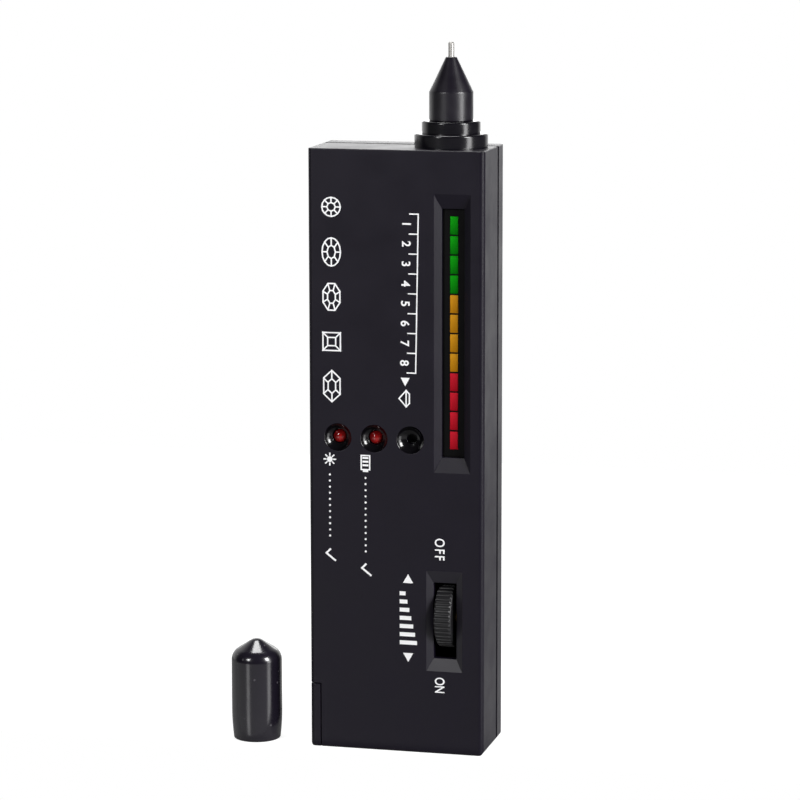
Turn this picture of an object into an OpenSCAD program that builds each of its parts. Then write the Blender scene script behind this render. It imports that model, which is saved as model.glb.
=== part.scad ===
// Hand-held thermal gem tester: a clamshell case with a bar of lamps, a thumbwheel and a sprung probe.
// Millimetres. +X is right, the front faces -Y, +Z is up, and the origin is the middle of the bottom end.

/* [Case] */
// Height of the case without the probe
body_h = 156; // [150:1:180]
// Wall of both shells
wall = 2.2; // [1.8:0.1:3]
// Width kept for the controls, from the battery bay's rib to the right side
control_w = 14.75; // [14.5:0.25:22]
// Depth of the front shell, from the front face to the seam
front_depth = 15.3; // [14.6:0.1:16.6]
// Rounding of the four long edges
edge_r = 1.3; // [0.5:0.1:2]
// Rounding of the bottom corners, seen from the front
corner_r = 1.5; // [0.5:0.1:2]
// Rounding of the bottom end, seen from the side
foot_r = 0.8; // [0.3:0.1:2]
// Rounding of the top end
top_r = 0.4; // [0.2:0.1:1]
// Width of the shadow groove behind the seam
seam_w = 1.4; // [0.6:0.1:2]
// Depth of the shadow groove
seam_deep = 0.65; // [0.3:0.05:1]
// Height of the lip that locates the rear shell in the front one
lip_h = 1.5; // [1:0.1:2]
// Thickness of the ribs inside the case
rib_t = 1; // [0.8:0.1:1.4]
// Depth of the shelf above the battery, behind the front wall
shelf_deep = 6; // [4:0.5:8]

/* [Case screws] */
// Radius of the screw bosses
boss_r = 3.5; // [3.2:0.1:4]
// Distance of the boss centres from the sides of the case
boss_inset = 5.8; // [5.6:0.1:6.2]
// Height of the two bosses above the battery, from the middle of the case
boss_mid_z = -7.5; // [-10:0.5:-7]
// Distance of the outer bosses from the ends of the case
boss_end = 9; // [8:0.5:10]
// Radius of the screw shank
screw_r = 1.3; // [1:0.1:1.4]
// Radius of the screw head
screw_head_r = 2.5; // [2.2:0.1:2.7]
// Height of the screw head
screw_head_h = 2; // [1.6:0.1:2.4]
// Depth of the screw head below the back face
screw_sink = 2.6; // [1:0.1:3]
// Length of the shank in the front shell
screw_grip = 9; // [6:0.5:10]

/* [Battery and its door] */
// Width of the nine volt battery
battery_w = 26.5; // [25:0.5:30]
// Thickness of the battery
battery_t = 17.5; // [15:0.5:20]
// Height of the battery's can
battery_l = 46.4; // [40:0.2:48]
// Rounding of the can's upright edges
battery_r = 2; // [1:0.1:3]
// Distance between the two terminals
terminal_pitch = 12.7; // [12:0.1:13]
// Height of the terminals
terminal_h = 2.1; // [1.6:0.1:2.4]
// Radius of the round terminal
stud_r = 2.85; // [2.6:0.05:3]
// Radius of the socket terminal
socket_r = 4.1; // [3.8:0.05:4.3]
// Radius of the battery's leads
battery_lead_r = 0.6; // [0.4:0.05:0.7]
// Distance of a battery lead from the middle of the snap
battery_lead_x = 1.2; // [0.9:0.1:4]
// Thickness of the snap connector
snap_h = 4.4; // [3.6:0.1:5]
// Width of the snap connector
snap_w = 25; // [23:0.5:26]
// Depth of the snap connector, front to back
snap_t = 12.5; // [10:0.5:14]
// Rounding of the snap connector
snap_r = 3; // [1:0.1:4]
// Room round the battery
bay_gap = 0.3; // [0.2:0.05:0.8]
// Height of the door on the left side
door_h = 16.75; // [12:0.25:25]
// Width of the door's lip on the front and back
door_lip = 2.7; // [2.4:0.1:4]
// Gap round the door
door_gap = 0.25; // [0.15:0.05:0.4]
// Thickness of the tongue that guides the door
tongue_t = 0.8; // [0.7:0.1:1.2]
// Height of the tongue above the door
tongue_h = 7; // [4:0.5:10]
// Height of the tongue's root on the door
tongue_root = 6; // [4:0.5:8]
// Width of the tongue
tongue_w = 14; // [8:0.5:15]
// Running gap of the tongue on the wall
slide_gap = 0.15; // [0.1:0.05:0.3]
// Number of grip grooves on the door's side
grip_count = 5; // [3:1:7]
// Distance from groove to groove
grip_pitch = 1.6; // [1.3:0.1:2]
// Radius of a grip groove
grip_r = 0.5; // [0.3:0.05:0.6]
// Length of a grip groove
grip_l = 12; // [6:0.5:16]

/* [Lamp bar] */
// Number of lamps in the bar
led_count = 12; // [8:1:12]
// Distance from lamp to lamp
led_pitch = 5; // [4.9:0.05:5.2]
// Width of a lamp
led_w = 2.06; // [1.6:0.02:2.6]
// Height of a lamp
led_l = 4.6; // [4:0.05:4.65]
// Length of a lamp, front to back
led_deep = 7; // [5:0.1:8]
// Height of the middle of the bar, from the middle of the case
bar_z = 31.5; // [29:0.5:34]
// Distance of the bar from the right side
bar_inset = 8.3; // [8:0.1:8.6]
// Width of the slot in front of the lamps
slot_w = 5.85; // [4:0.05:6.2]
// Room in the slot above and below the lamps
slot_end = 2; // [1:0.1:2.4]
// Depth of the window's bevel
window_deep = 1.3; // [0.8:0.1:1.6]
// Width of the bevel on the sides
window_side = 1.85; // [1:0.05:2.2]
// Width of the bevel on the ends
window_end = 3.85; // [2:0.05:4.2]
// Depth of the holder that keeps the lamps in line
holder_deep = 8; // [7:0.1:9]
// Overlap of the holder behind the slot
holder_lap = 1; // [0.6:0.1:1.2]
// Gap round a lamp in its holder
led_gap = 0.05; // [0.03:0.01:0.08]

/* [Signal lamps and sounder] */
// Height of the row of dished holes, from the middle of the case
dish_z = 4; // [2:0.5:6]
// Distance of the first dish from the left side
dish_inset = 7.7; // [7:0.1:8.5]
// Distance from dish to dish
dish_pitch = 9.55; // [9.2:0.05:9.8]
// Diameter of a dish at the front face
dish_d = 7.2; // [6:0.1:8]
// Depth of a dish
dish_deep = 2; // [1.4:0.1:2.2]
// Thickness of the pad behind a dish
dish_pad = 1.2; // [1:0.1:1.6]
// Width of the pad outside its dish
dish_rim = 0.8; // [0.5:0.1:1]
// Radius of the signal lamps
lamp_r = 1.5; // [1.2:0.05:1.6]
// Width of the flange at a signal lamp's base
lamp_flange = 0.4; // [0.3:0.05:0.5]
// Length of a signal lamp
lamp_l = 5.3; // [4.5:0.1:6]
// Depth of the lamp's tip behind the front face
lamp_sink = 1.15; // [0.6:0.05:1.6]
// Gap between a lamp and its hole
lamp_gap = 0.15; // [0.1:0.01:0.3]
// Radius of the sounder's can
buzzer_r = 6; // [5:0.1:6.2]
// Radius of the sound hole
sound_r = 1.3; // [0.8:0.05:1.5]

/* [Circuit board] */
// Depth of the board's front side behind the front face
board_deep = 11.85; // [11.6:0.05:12.4]
// Thickness of the board
board_t = 1.6; // [1:0.1:1.6]
// Gap between the board's long edges and the side walls
board_gap = 1.4; // [1.3:0.1:2]
// Distance of the board's top edge from the top end of the case
board_top = 6; // [5.5:0.5:8]
// Thickness of a lamp's wire
wire_t = 0.5; // [0.4:0.05:0.6]
// Distance between a lamp's two wires
wire_pitch = 2.54; // [2:0.02:2.6]
// Length of the wires behind the board
wire_end = 0.8; // [0.4:0.1:1.2]
// Radius of the board's posts
post_r = 2.5; // [2.2:0.1:3]
// Distance of the outer posts from the board's edges
post_in = 3.2; // [2.8:0.1:4]
// Height of the lower post above the board's lower edge
post_up = 9; // [5:0.5:10]
// Width of the board round the volume control's pins, above and below it
strip_end = 2; // [1:0.1:3]
// Radius of the board screws
board_screw_r = 1.05; // [0.8:0.05:1.2]
// Height of a board screw's head
board_head_h = 1.6; // [1:0.1:2]
// Length of a board screw in its post
board_grip = 4.5; // [3:0.1:7]
// Pitch of the chips' legs
leg_pitch = 2.54; // [2.2:0.02:2.54]
// Width of a chip's body
chip_w = 6.4; // [5:0.1:7]
// Height of a chip's body
chip_h = 3.3; // [2:0.1:4]
// Width of a chip's leg
leg_w = 0.5; // [0.3:0.05:0.6]
// Thickness of a chip's leg
leg_t = 0.3; // [0.2:0.05:0.4]
// Distance of the legs from a chip's body
leg_out = 0.7; // [0.5:0.05:0.9]
// Height of a chip's body above the board
chip_lift = 0.6; // [0.3:0.1:1]
// Room between the parts on the board
chip_gap = 3.8; // [3:0.1:4]
// Distance of the small chip and the capacitors from the board's left edge
small_in = 10; // [9.5:0.1:10.5]
// Radius of the capacitors
cap_can_r = 3.15; // [2:0.05:3.4]
// Height of the capacitors
cap_can_h = 7.5; // [5:0.1:9]
// Height of the groove round a capacitor
can_groove_z = 1.6; // [1:0.1:2]
// Radius of that groove
can_groove_r = 0.6; // [0.4:0.05:0.8]

/* [Thumbwheel] */
// Radius of the wheel
wheel_r = 8.4; // [7.8:0.1:9.3]
// Thickness of the wheel
wheel_w = 4.4; // [4:0.1:5]
// Depth of the wheel's axis behind the front face
wheel_deep = 6.4; // [5.9:0.1:7.1]
// Height of the wheel's axis
wheel_z = 35.7; // [33:0.1:37]
// Distance of the wheel's right face from the right side
wheel_inset = 8.3; // [7.4:0.1:8.5]
// Number of grooves across the rim
rib_count = 42; // [24:1:48]
// Radius of a groove
groove_r = 0.4; // [0.25:0.05:0.45]
// Depth of the recess in the wheel's left side
wheel_dish = 1; // [0.6:0.1:1.2]
// Width of the rim outside that recess
wheel_rim = 2; // [1.5:0.1:3]
// Chamfer of the rim
rim_chamfer = 0.5; // [0.3:0.1:0.8]
// Depth of the bevel round the wheel
frame_deep = 1; // [0.6:0.1:2]
// Width of the bevel on the sides
frame_side = 1.8; // [1:0.05:2]
// Width of the bevel on the ends
frame_end = 3.35; // [2:0.05:4]
// Gap left of the wheel in its slot
wheel_gap_left = 0.6; // [0.3:0.1:1.4]
// Gap right of the wheel in its slot
wheel_gap_right = 1; // [0.3:0.05:1.2]
// Gap above the wheel in its slot
wheel_gap_end = 1.65; // [0.3:0.05:2]
// Gap below the wheel in its slot
wheel_gap_foot = 2.85; // [0.3:0.05:3.2]
// Thickness added behind the wheel's slot
frame_pad = 0.8; // [0.6:0.1:1]
// Width of that added part beside the slot
pad_side = 1.2; // [0.8:0.1:1.4]
// Width of that added part above and below the slot
pad_end = 2; // [1:0.1:3]
// Radius of the spindle
spindle_r = 2; // [1.6:0.1:2.4]
// Running gap of the spindle in the volume control
spindle_gap = 0.05; // [0.02:0.01:0.08]
// Height of the volume control's body
control_h = 11; // [9:0.5:14]
// Wall of the volume control at the spindle's end
control_wall = 0.7; // [0.5:0.1:1]
// Gap between the wheel and the volume control
control_gap = 0.5; // [0.3:0.05:0.8]
// Depth of the screw's seat in the wheel
screw_seat = 1.3; // [1:0.1:1.6]
// Thickness of the wheel's web under the screw
hub_web = 0.8; // [0.6:0.1:1]
// Length of the wheel's screw
wheel_screw_l = 4.5; // [3:0.1:5]

/* [Probe] */
// Distance of the probe's axis from the right side
probe_inset = 11.2; // [11:0.1:12]
// Radius of the collar's wide ring
ring_r = 9.35; // [8.6:0.05:10]
// Height of the wide ring
ring_h = 3.5; // [2:0.1:5]
// Radius of the collar's narrow ring
step_r = 7.45; // [6.8:0.05:8]
// Height of the narrow ring
step_h = 3.2; // [2:0.1:5]
// Rounding of the collar's edges
ring_edge = 0.5; // [0.2:0.1:0.8]
// Radius of the neck held between the shells
neck_r = 6; // [5.6:0.1:6.4]
// Radius of the flange under the top wall
flange_r = 8; // [7.4:0.1:8.2]
// Thickness of the flange
flange_t = 2.2; // [1.4:0.1:2.6]
// Radius of the nose
nose_r = 5.6; // [5.2:0.05:6]
// Length of the nose's straight part
nose_h = 7.3; // [5:0.1:10]
// Length of the nose's cone
cone_h = 8.7; // [6:0.1:12]
// Radius of the cone's end
cone_r = 1.4; // [1.2:0.05:2]
// Radius of the spigot that screws into the collar
spigot_r = 4.4; // [4:0.1:4.8]
// Radius of the chamber in the nose
chamber_r = 3; // [2.8:0.05:3.2]
// Radius of the pin
pin_r = 0.75; // [0.5:0.05:0.9]
// Length of the pin outside the cone
pin_out = 3.8; // [3:0.1:6]
// Travel of the pin
pin_travel = 1.5; // [0.5:0.1:2]
// Running gap of the pin in the nose
pin_gap = 0.08; // [0.02:0.01:0.1]
// Height of the pin's stop above the nose's straight part
stop_up = 2; // [1:0.1:3]
// Thickness of the heater block under the pin
heater_floor = 1; // [0.6:0.1:2]
// Length of the heater block
heater_h = 6.5; // [5:0.1:8]
// Gap between the heater block and the chamber
heater_gap = 0.3; // [0.2:0.05:0.5]
// Thickness of the spring's wire
spring_wire = 0.5; // [0.3:0.05:0.6]
// Number of turns of the spring
spring_turns = 5; // [3:1:6]
// Length of the spring
spring_h = 7.4; // [6.5:0.1:8]
// Length of the plug under the spring
plug_h = 5.9; // [4:0.1:7]
// Radius of the probe's leads
probe_lead_r = 0.4; // [0.3:0.05:0.5]
// Distance of the first probe lead left of the probe's axis
probe_lead_x = 1.55; // [1.5:0.05:1.6]
// Distance from the first probe lead to the second
probe_lead_step = 0.95; // [0.9:0.05:1]

/* [Tip cap] */
// Distance of the standing cap's axis from the left side
cap_away = 16.1; // [12:0.1:30]
// Distance of the cap's axis in front of the case's middle
cap_front = 5.7; // [0:0.05:20]
// Wall of the cap
cap_wall = 0.9; // [0.5:0.05:1.2]
// Slip of the cap on the nose
cap_slip = 0.1; // [0.05:0.01:0.2]
// Height of the cap's straight side
cap_h = 20.9; // [20:0.1:26]
// Radius of the cap's shoulder
cap_shoulder = 3.6; // [1.5:0.1:4]
// Slope of the cap's cone
cap_slope = 33; // [20:1:40]
// Radius of the cap's rounded end
cap_end = 3; // [0.5:0.1:3.2]
// Depth of the cavity's end below the point where the cone's sides would meet
cap_roof = 1.4; // [1:0.1:2]
// Rounding of the cap's rim
cap_rim = 0.85; // [0.3:0.05:0.85]

/* [Clearances] */
// Gap between faces that rest on each other
seat = 0.05; // [0.02:0.01:0.1]
// Gap round a thread or a push fit
thread_gap = 0.05; // [0.02:0.01:0.1]
// Gap between neighbouring inner pieces
part_gap = 0.2; // [0.1:0.05:0.3]

/* [Hidden] */
$fn = 48;
eps = 0.01;

// The battery sets the size of the case
body_t = battery_t + 2 * (wall + bay_gap);
tongue_x = wall + slide_gap;
battery_in = tongue_x + tongue_t + bay_gap;
bay_end = battery_in + battery_w + bay_gap;
body_w = bay_end + rib_t + control_w;
left = -body_w / 2;
right = body_w / 2;
front = -body_t / 2;
back = body_t / 2;
in_left = left + wall;
in_right = right - wall;
in_front = front + wall;
in_back = back - wall;
seam_y = front + front_depth;

// Heights in the battery bay
battery_z = wall + bay_gap;
snap_z = battery_z + battery_l + 2 * seat;
shelf_z = snap_z + snap_h + bay_gap;
board_z = shelf_z + 2 * rib_t + bay_gap;

// Heights that follow the middle of the case
middle = body_h / 2;
bar_mid = middle + bar_z;
dish_mid = middle + dish_z;
boss_mid = middle + boss_mid_z;
top_in = body_h - wall;

// Bar of lamps
bar_x = right - bar_inset;
bar_h = (led_count - 1) * led_pitch + led_l;
slot_h = bar_h + 2 * slot_end;
led_y = in_front;
holder_y = in_front + seat;

// Dished holes
dish_x = [for (i = [0:2]) left + dish_inset + i * dish_pitch];
pad_y = in_front + dish_pad;
dish_ball = (pow(dish_d / 2, 2) + pow(dish_deep, 2)) / (2 * dish_deep);

// Circuit board
board_y = front + board_deep;
board_back = board_y + board_t;
board_end = body_h - board_top;
board_left = in_left + board_gap;
board_right = in_right - board_gap;
driver_pins = 8;
driver_l = driver_pins * leg_pitch;
driver_step = driver_l + chip_gap;
driver_z = [for (i = [0.5, 1.5]) dish_mid + buzzer_r + chip_gap / 2 + i * driver_step];
small_x = board_left + small_in;
small_pins = 4;
small_z = (driver_z[0] + driver_z[1]) / 2;
small_step = small_pins * leg_pitch / 2 + chip_gap + cap_can_r;
post_at = [
    [board_left + post_in, driver_z[0]],
    [dish_x[1], board_end - post_in],
    [dish_x[2], board_z + post_up]
];
hole_r = wire_t / sqrt(2) + part_gap / 2;

// Thumbwheel
wheel_x = right - wheel_inset - wheel_w;
wheel_y = front + wheel_deep;
rim_in = wheel_deep - wall - frame_pad;
rim_half = sqrt(wheel_r * wheel_r - rim_in * rim_in);
frame_x0 = wheel_x - wheel_gap_left;
frame_x1 = wheel_x + wheel_w + wheel_gap_right;
frame_z0 = wheel_z - rim_half - wheel_gap_foot;
frame_z1 = wheel_z + rim_half + wheel_gap_end;
control_x = wheel_x + wheel_w + control_gap;
control_y = in_front + frame_pad + part_gap;
hub_x = wheel_x + screw_seat + hub_web;
spindle_end = in_right - part_gap - control_wall;

// Case screws
boss_at = [
    [left + boss_inset, body_h - boss_end],
    [left + boss_inset, boss_mid],
    [right - boss_inset, boss_mid],
    [right - boss_inset, boss_end]
];
post_y = seam_y + seat;
head_y = back - screw_sink;

// Probe
probe_x = right - probe_inset;
flange_z = top_in - 2 * seat - flange_t;
ring_z = body_h + seat;
step_z = ring_z + ring_h;
nose_z = step_z + step_h;
cone_z = nose_z + nose_h;
tip_z = cone_z + cone_h;
stop_z = cone_z + stop_up;
heater_z = stop_z - 2 * seat - heater_h;
plug_z = heater_z - spring_h;
spring_r = chamber_r - heater_gap - spring_wire;

// Tip cap
cap_in = nose_r + cap_slip;
cap_r = cap_in + cap_wall;
cap_at = [left - cap_away, -cap_front];

// Routes of the inner leads, as points on Y and Z from the snap's top and from the board's top edge
snap_top = snap_z + snap_h;
plug_end = plug_z - plug_h;
battery_route = [
    [0, snap_top + seat], [-0.4, snap_top + 2.6], [-2.6, snap_top + 5.2], [-2.2, snap_top + 8.4],
    [board_y - seat, snap_top + 9.2]
];
probe_route = [
    [0, plug_end - seat], [-0.5, board_end], [-1.6, board_end - 1.8], [-1.2, board_end - 3.4],
    [board_y - seat, board_end - 4]
];

// Flat outline from 0 to h, with its two low and two high corners rounded
module soft_rect(w, h, r_low, r_high) {
    translate([-w / 2, r_low]) square([w, h - r_low - r_high]);
    translate([-w / 2 + r_low, 0]) square([w - 2 * r_low, 2 * r_low]);
    translate([-w / 2 + r_high, h - 2 * r_high]) square([w - 2 * r_high, 2 * r_high]);
    for (side = [-1, 1]) {
        translate([side * (w / 2 - r_low), r_low]) circle(r_low);
        translate([side * (w / 2 - r_high), h - r_high]) circle(r_high);
    }
}

// Box between two corners
module box(low, high) {
    translate(low) cube(high - low);
}

// Cylinder along Y from one depth to another
module rod_y(x, z, r, y0, y1) {
    translate([x, y0, z]) rotate([-90, 0, 0]) cylinder(r = r, h = y1 - y0);
}

// Cylinder along X from one place to another
module rod_x(y, z, r, x0, x1) {
    translate([x0, y, z]) rotate([0, 90, 0]) cylinder(r = r, h = x1 - x0);
}

// Flat outline on X and Z, given a thickness along Y
module plate_y(y0, y1) {
    translate([0, y1, 0]) rotate([90, 0, 0]) linear_extrude(y1 - y0) children();
}

// Flat outline on Y and Z, given a thickness along X
module plate_x(x0, x1) {
    translate([x0, 0, 0]) rotate([90, 0, 90]) linear_extrude(x1 - x0) children();
}

// Outside of the closed case: three crossed profiles round all its edges
module case_solid() {
    intersection() {
        translate([0, front, 0]) linear_extrude(body_h) soft_rect(body_w, body_t, edge_r, edge_r);
        plate_y(front - 1, back + 1) soft_rect(body_w, body_h, corner_r, top_r);
        plate_x(left - 1, right + 1) soft_rect(body_t, body_h, foot_r, top_r);
    }
}

module case_hollow() {
    box([in_left, in_front, wall], [in_right, in_back, top_in]);
}

// Space that the battery door fills at the corner of the case
module door_space(gap) {
    box([left - 1, front - 1, -1], [left + door_lip + gap, back + 1, door_h + gap]);
    box([left, in_front, -1], [left + bay_end, in_back, wall + eps]);
}

// Recess with four sloped sides, cut from the front face
module bevel_cut(x, z, w, h, side, end, deep) {
    intersection() {
        translate([x, front, z - h / 2 - end - 2])
            linear_extrude(h + 2 * end + 4) slope_outline(w, side, deep);
        translate([x - w / 2 - side - 2, front, z]) rotate([0, 90, 0])
            linear_extrude(w + 2 * side + 4) slope_outline(h, end, deep);
    }
}

// Trapezium from 1 mm before the face to the given depth
module slope_outline(inner, side, deep) {
    outer = inner / 2 + side + side / deep;
    polygon([[-outer, -1], [outer, -1], [inner / 2, deep], [-inner / 2, deep]]);
}

// Cross-shaped drive of a screw whose head faces +Z
module cross_drive(size, deep) {
    for (turn = [0, 90]) rotate([0, 0, turn])
        translate([-size / 2, -size / 8, -deep]) cube([size, size / 4, deep + 1]);
}

module front_shell() {
    color("#26262b") difference() {
        union() {
            difference() {
                intersection() {
                    case_solid();
                    box([left - 1, front - 1, -1], [right + 1, seam_y, body_h + 1]);
                }
                case_hollow();
            }
            front_ribs();
        }
        door_space(door_gap);
        window_cut();
        frame_cut();
        dish_cuts();
        neck_slot();
        for (at = boss_at) rod_y(at[0], at[1], screw_r + thread_gap, seam_y - screw_grip - 1, seam_y + 1);
        for (at = post_at)
            rod_y(at[0], at[1], board_screw_r + thread_gap, board_y - board_grip - 1, board_y + 1);
    }
}

// Bosses, posts, pads and ribs behind the front wall
module front_ribs() {
    for (at = boss_at) rod_y(at[0], at[1], boss_r, in_front - 1, seam_y);
    for (at = post_at) rod_y(at[0], at[1], post_r, in_front - 1, board_y);
    for (x = dish_x) rod_y(x, dish_mid, dish_d / 2 + dish_rim, in_front - 1, pad_y);
    box([frame_x0 - pad_side, in_front - 1, frame_z0 - pad_end],
        [frame_x1 + pad_side, in_front + frame_pad, frame_z1 + pad_end]);
    box([left + bay_end, in_front - 1, wall - 1], [left + bay_end + rib_t, seam_y - part_gap, shelf_z]);
    box([in_left - 1, in_front - 1, shelf_z],
        [left + bay_end + rib_t, in_front + shelf_deep, shelf_z + rib_t]);
}

module window_cut() {
    bevel_cut(bar_x, bar_mid, slot_w, slot_h, window_side, window_end, window_deep);
    box([bar_x - slot_w / 2, front, bar_mid - slot_h / 2],
        [bar_x + slot_w / 2, in_front + 1, bar_mid + slot_h / 2]);
}

module frame_cut() {
    bevel_cut((frame_x0 + frame_x1) / 2, (frame_z0 + frame_z1) / 2, frame_x1 - frame_x0, frame_z1 - frame_z0,
              frame_side, frame_end, frame_deep);
    box([frame_x0, front, frame_z0], [frame_x1, in_front + frame_pad + 1, frame_z1]);
}

module dish_cuts() {
    for (i = [0:2]) {
        translate([dish_x[i], front + dish_deep - dish_ball, dish_mid]) sphere(dish_ball);
        rod_y(dish_x[i], dish_mid, i < 2 ? lamp_r + lamp_gap : sound_r, front, pad_y + 1);
    }
}

// Slot in the front shell's top wall, which the collar's neck drops into
module neck_slot() {
    translate([probe_x, 0, top_in - 1]) cylinder(r = neck_r + lamp_gap, h = wall + 2);
    box([probe_x - neck_r - lamp_gap, 0, top_in - 1], [probe_x + neck_r + lamp_gap, seam_y + 1, body_h + 1]);
}

module rear_shell() {
    color("#2e2e33") difference() {
        union() {
            difference() {
                intersection() {
                    case_solid();
                    box([left - 1, post_y, -1], [right + 1, back + 1, body_h + 1]);
                }
                case_hollow();
            }
            for (at = boss_at) rod_y(at[0], at[1], boss_r, post_y, in_back + 1);
            locating_lips();
        }
        door_space(door_gap);
        seam_groove();
        translate([probe_x, 0, top_in - 1]) cylinder(r = neck_r + lamp_gap, h = wall + 2);
        for (at = boss_at) {
            rod_y(at[0], at[1], screw_r + part_gap, seam_y - 1, back + 1);
            rod_y(at[0], at[1], screw_head_r + part_gap, head_y - screw_head_h, back + 1);
        }
    }
}

// Ribs on the rear shell's side walls that slip inside the front shell
module locating_lips() {
    low = boss_mid + 2 * boss_r;
    high = body_h - boss_end - 2 * boss_r;
    for (side = [0, 1]) mirror([side, 0, 0]) {
        box([in_right - seat - rib_t, seam_y - lip_h, low], [in_right - seat, seam_y + lip_h, high]);
        box([in_right - seat - rib_t, post_y, low], [in_right + 1, seam_y + lip_h, high]);
    }
}

// Shadow groove round the rear shell, just behind the seam
module seam_groove() {
    difference() {
        box([left - 1, seam_y, -1], [right + 1, seam_y + seam_w, body_h + 1]);
        box([left + seam_deep, seam_y - 1, seam_deep], [right - seam_deep, back, body_h - seam_deep]);
    }
}

// Corner of the case that slides off below, with grip grooves on its side and a tongue inside the wall
module battery_door() {
    grip_z = (door_h - (grip_count - 1) * grip_pitch) / 2;
    color("#232328") {
        difference() {
            intersection() {
                case_solid();
                door_walls();
            }
            for (i = [0:grip_count - 1])
                rod_y(left, grip_z + i * grip_pitch, grip_r, -grip_l / 2, grip_l / 2);
        }
        box([left + wall - eps, -tongue_w / 2, door_h - tongue_root],
            [left + tongue_x + tongue_t, tongue_w / 2, door_h]);
        box([left + tongue_x, -tongue_w / 2, door_h - eps],
            [left + tongue_x + tongue_t, tongue_w / 2, door_h + tongue_h]);
    }
}

module door_walls() {
    box([left - 1, front - 1, -1], [left + wall, back + 1, door_h]);
    box([left - 1, front - 1, -1], [left + door_lip, in_front, door_h]);
    box([left - 1, in_back, -1], [left + door_lip, back + 1, door_h]);
    box([left - 1, in_front + door_gap, -1], [left + bay_end - door_gap, in_back - door_gap, wall]);
}

// Self-tapping screw along -Y, with the top of its head at the given depth
module screw_y(at, y, r, head_r, head_h, grip) {
    translate([at[0], y, at[1]]) rotate([-90, 0, 0]) difference() {
        union() {
            translate([0, 0, -head_h]) cylinder(r = head_r, h = head_h);
            translate([0, 0, -head_h - grip]) cylinder(r = r, h = grip + eps);
        }
        cross_drive(head_r * 1.1, head_h * 0.55);
    }
}

module case_screws() {
    color("#9a9a9e") for (at = boss_at)
        screw_y(at, head_y, screw_r, screw_head_r, screw_head_h, head_y - screw_head_h - seam_y + screw_grip);
}

module circuit_board() {
    strip_z = wheel_z - control_h / 2 - strip_end;
    color("#2f6b3a") plate_y(board_y, board_back) difference() {
        union() {
            translate([board_left, board_z]) square([board_right - board_left, board_end - board_z]);
            translate([control_x + part_gap, strip_z])
                square([in_right - control_x - 3 * part_gap, board_z + strip_end - strip_z]);
        }
        for (at = boss_at) translate(at) circle(boss_r + 2 * part_gap);
        for (at = post_at) translate(at) circle(board_screw_r + part_gap);
        for (i = [1:led_count], end = [-1, 1])
            translate([bar_x, led_z(i) + end * wire_pitch / 2]) circle(hole_r);
        for (i = [0, 1], end = [-1, 1])
            translate([dish_x[i] + end * wire_pitch / 2, dish_mid]) circle(hole_r);
        for (end = [-1, 1]) translate([dish_x[2], dish_mid + end * buzzer_r * 0.6]) circle(hole_r);
        for (step = [-1:1]) translate([control_pin_x(), wheel_z + step * control_h / 3]) circle(hole_r);
    }
}

function led_z(i) = bar_mid + ((led_count + 1) / 2 - i) * led_pitch;
function control_pin_x() = (control_x + in_right) / 2;

module board_screws() {
    top = board_back + board_head_h;
    color("#b0b0b4") for (at = post_at)
        screw_y(at, top, board_screw_r, board_screw_r * 2, board_head_h, board_t + board_grip);
}

// Black bar behind the window, with a pocket for each lamp and a foot at each end
module led_holder() {
    w = slot_w / 2 + holder_lap;
    h = slot_h / 2 + holder_lap;
    color("#101012") difference() {
        union() {
            box([bar_x - w, holder_y, bar_mid - h], [bar_x + w, holder_y + holder_deep, bar_mid + h]);
            for (end = [-1, 1]) translate([0, 0, bar_mid + end * (h - holder_lap)])
                box([bar_x - w, holder_y, -holder_lap], [bar_x + w, board_y - seat, holder_lap]);
        }
        for (i = [1:led_count])
            box([bar_x - led_w / 2 - led_gap, holder_y - 1, led_z(i) - led_l / 2 - led_gap],
                [bar_x + led_w / 2 + led_gap, holder_y + holder_deep + 1, led_z(i) + led_l / 2 + led_gap]);
    }
}

// Square wire from a part to just behind the board
module board_wire(x, z, y) {
    box([x - wire_t / 2, y, z - wire_t / 2], [x + wire_t / 2, board_back + wire_end, z + wire_t / 2]);
}

// One flat lamp of the bar with its two wires; the bar runs green, amber, red from the top
module bar_led(i) {
    tone = i <= led_count / 3 ? "#18a018" : i <= led_count * 2 / 3 ? "#d08a1c" : "#d02838";
    color(tone) {
        box([bar_x - led_w / 2, led_y, led_z(i) - led_l / 2],
            [bar_x + led_w / 2, led_y + led_deep, led_z(i) + led_l / 2]);
        for (end = [-1, 1]) board_wire(bar_x, led_z(i) + end * wire_pitch / 2, led_y + led_deep - wire_t);
    }
}

// Round lamp with a domed front and a flange at its base
module signal_lamp(x) {
    tip = front + lamp_sink;
    color("#c81e28") {
        translate([x, tip, dish_mid]) rotate([-90, 0, 0]) rotate_extrude() {
            intersection() {
                translate([0, lamp_r]) circle(lamp_r);
                square([lamp_r, lamp_r]);
            }
            translate([0, lamp_r]) square([lamp_r, lamp_l - lamp_r]);
            translate([0, lamp_l - 2 * wire_t]) square([lamp_r + lamp_flange, 2 * wire_t]);
        }
        for (end = [-1, 1]) board_wire(x + end * wire_pitch / 2, dish_mid, tip + lamp_l - wire_t);
    }
}

module ready_lamp() signal_lamp(dish_x[0]);
module battery_lamp() signal_lamp(dish_x[1]);

module buzzer() {
    color("#1a1a1c") difference() {
        union() {
            rod_y(dish_x[2], dish_mid, buzzer_r, pad_y + lamp_gap, board_y - seat);
            for (end = [-1, 1]) board_wire(dish_x[2], dish_mid + end * buzzer_r * 0.6, board_y - 1);
        }
        rod_y(dish_x[2], dish_mid, sound_r * 0.9, pad_y, pad_y + 2);
    }
}

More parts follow.
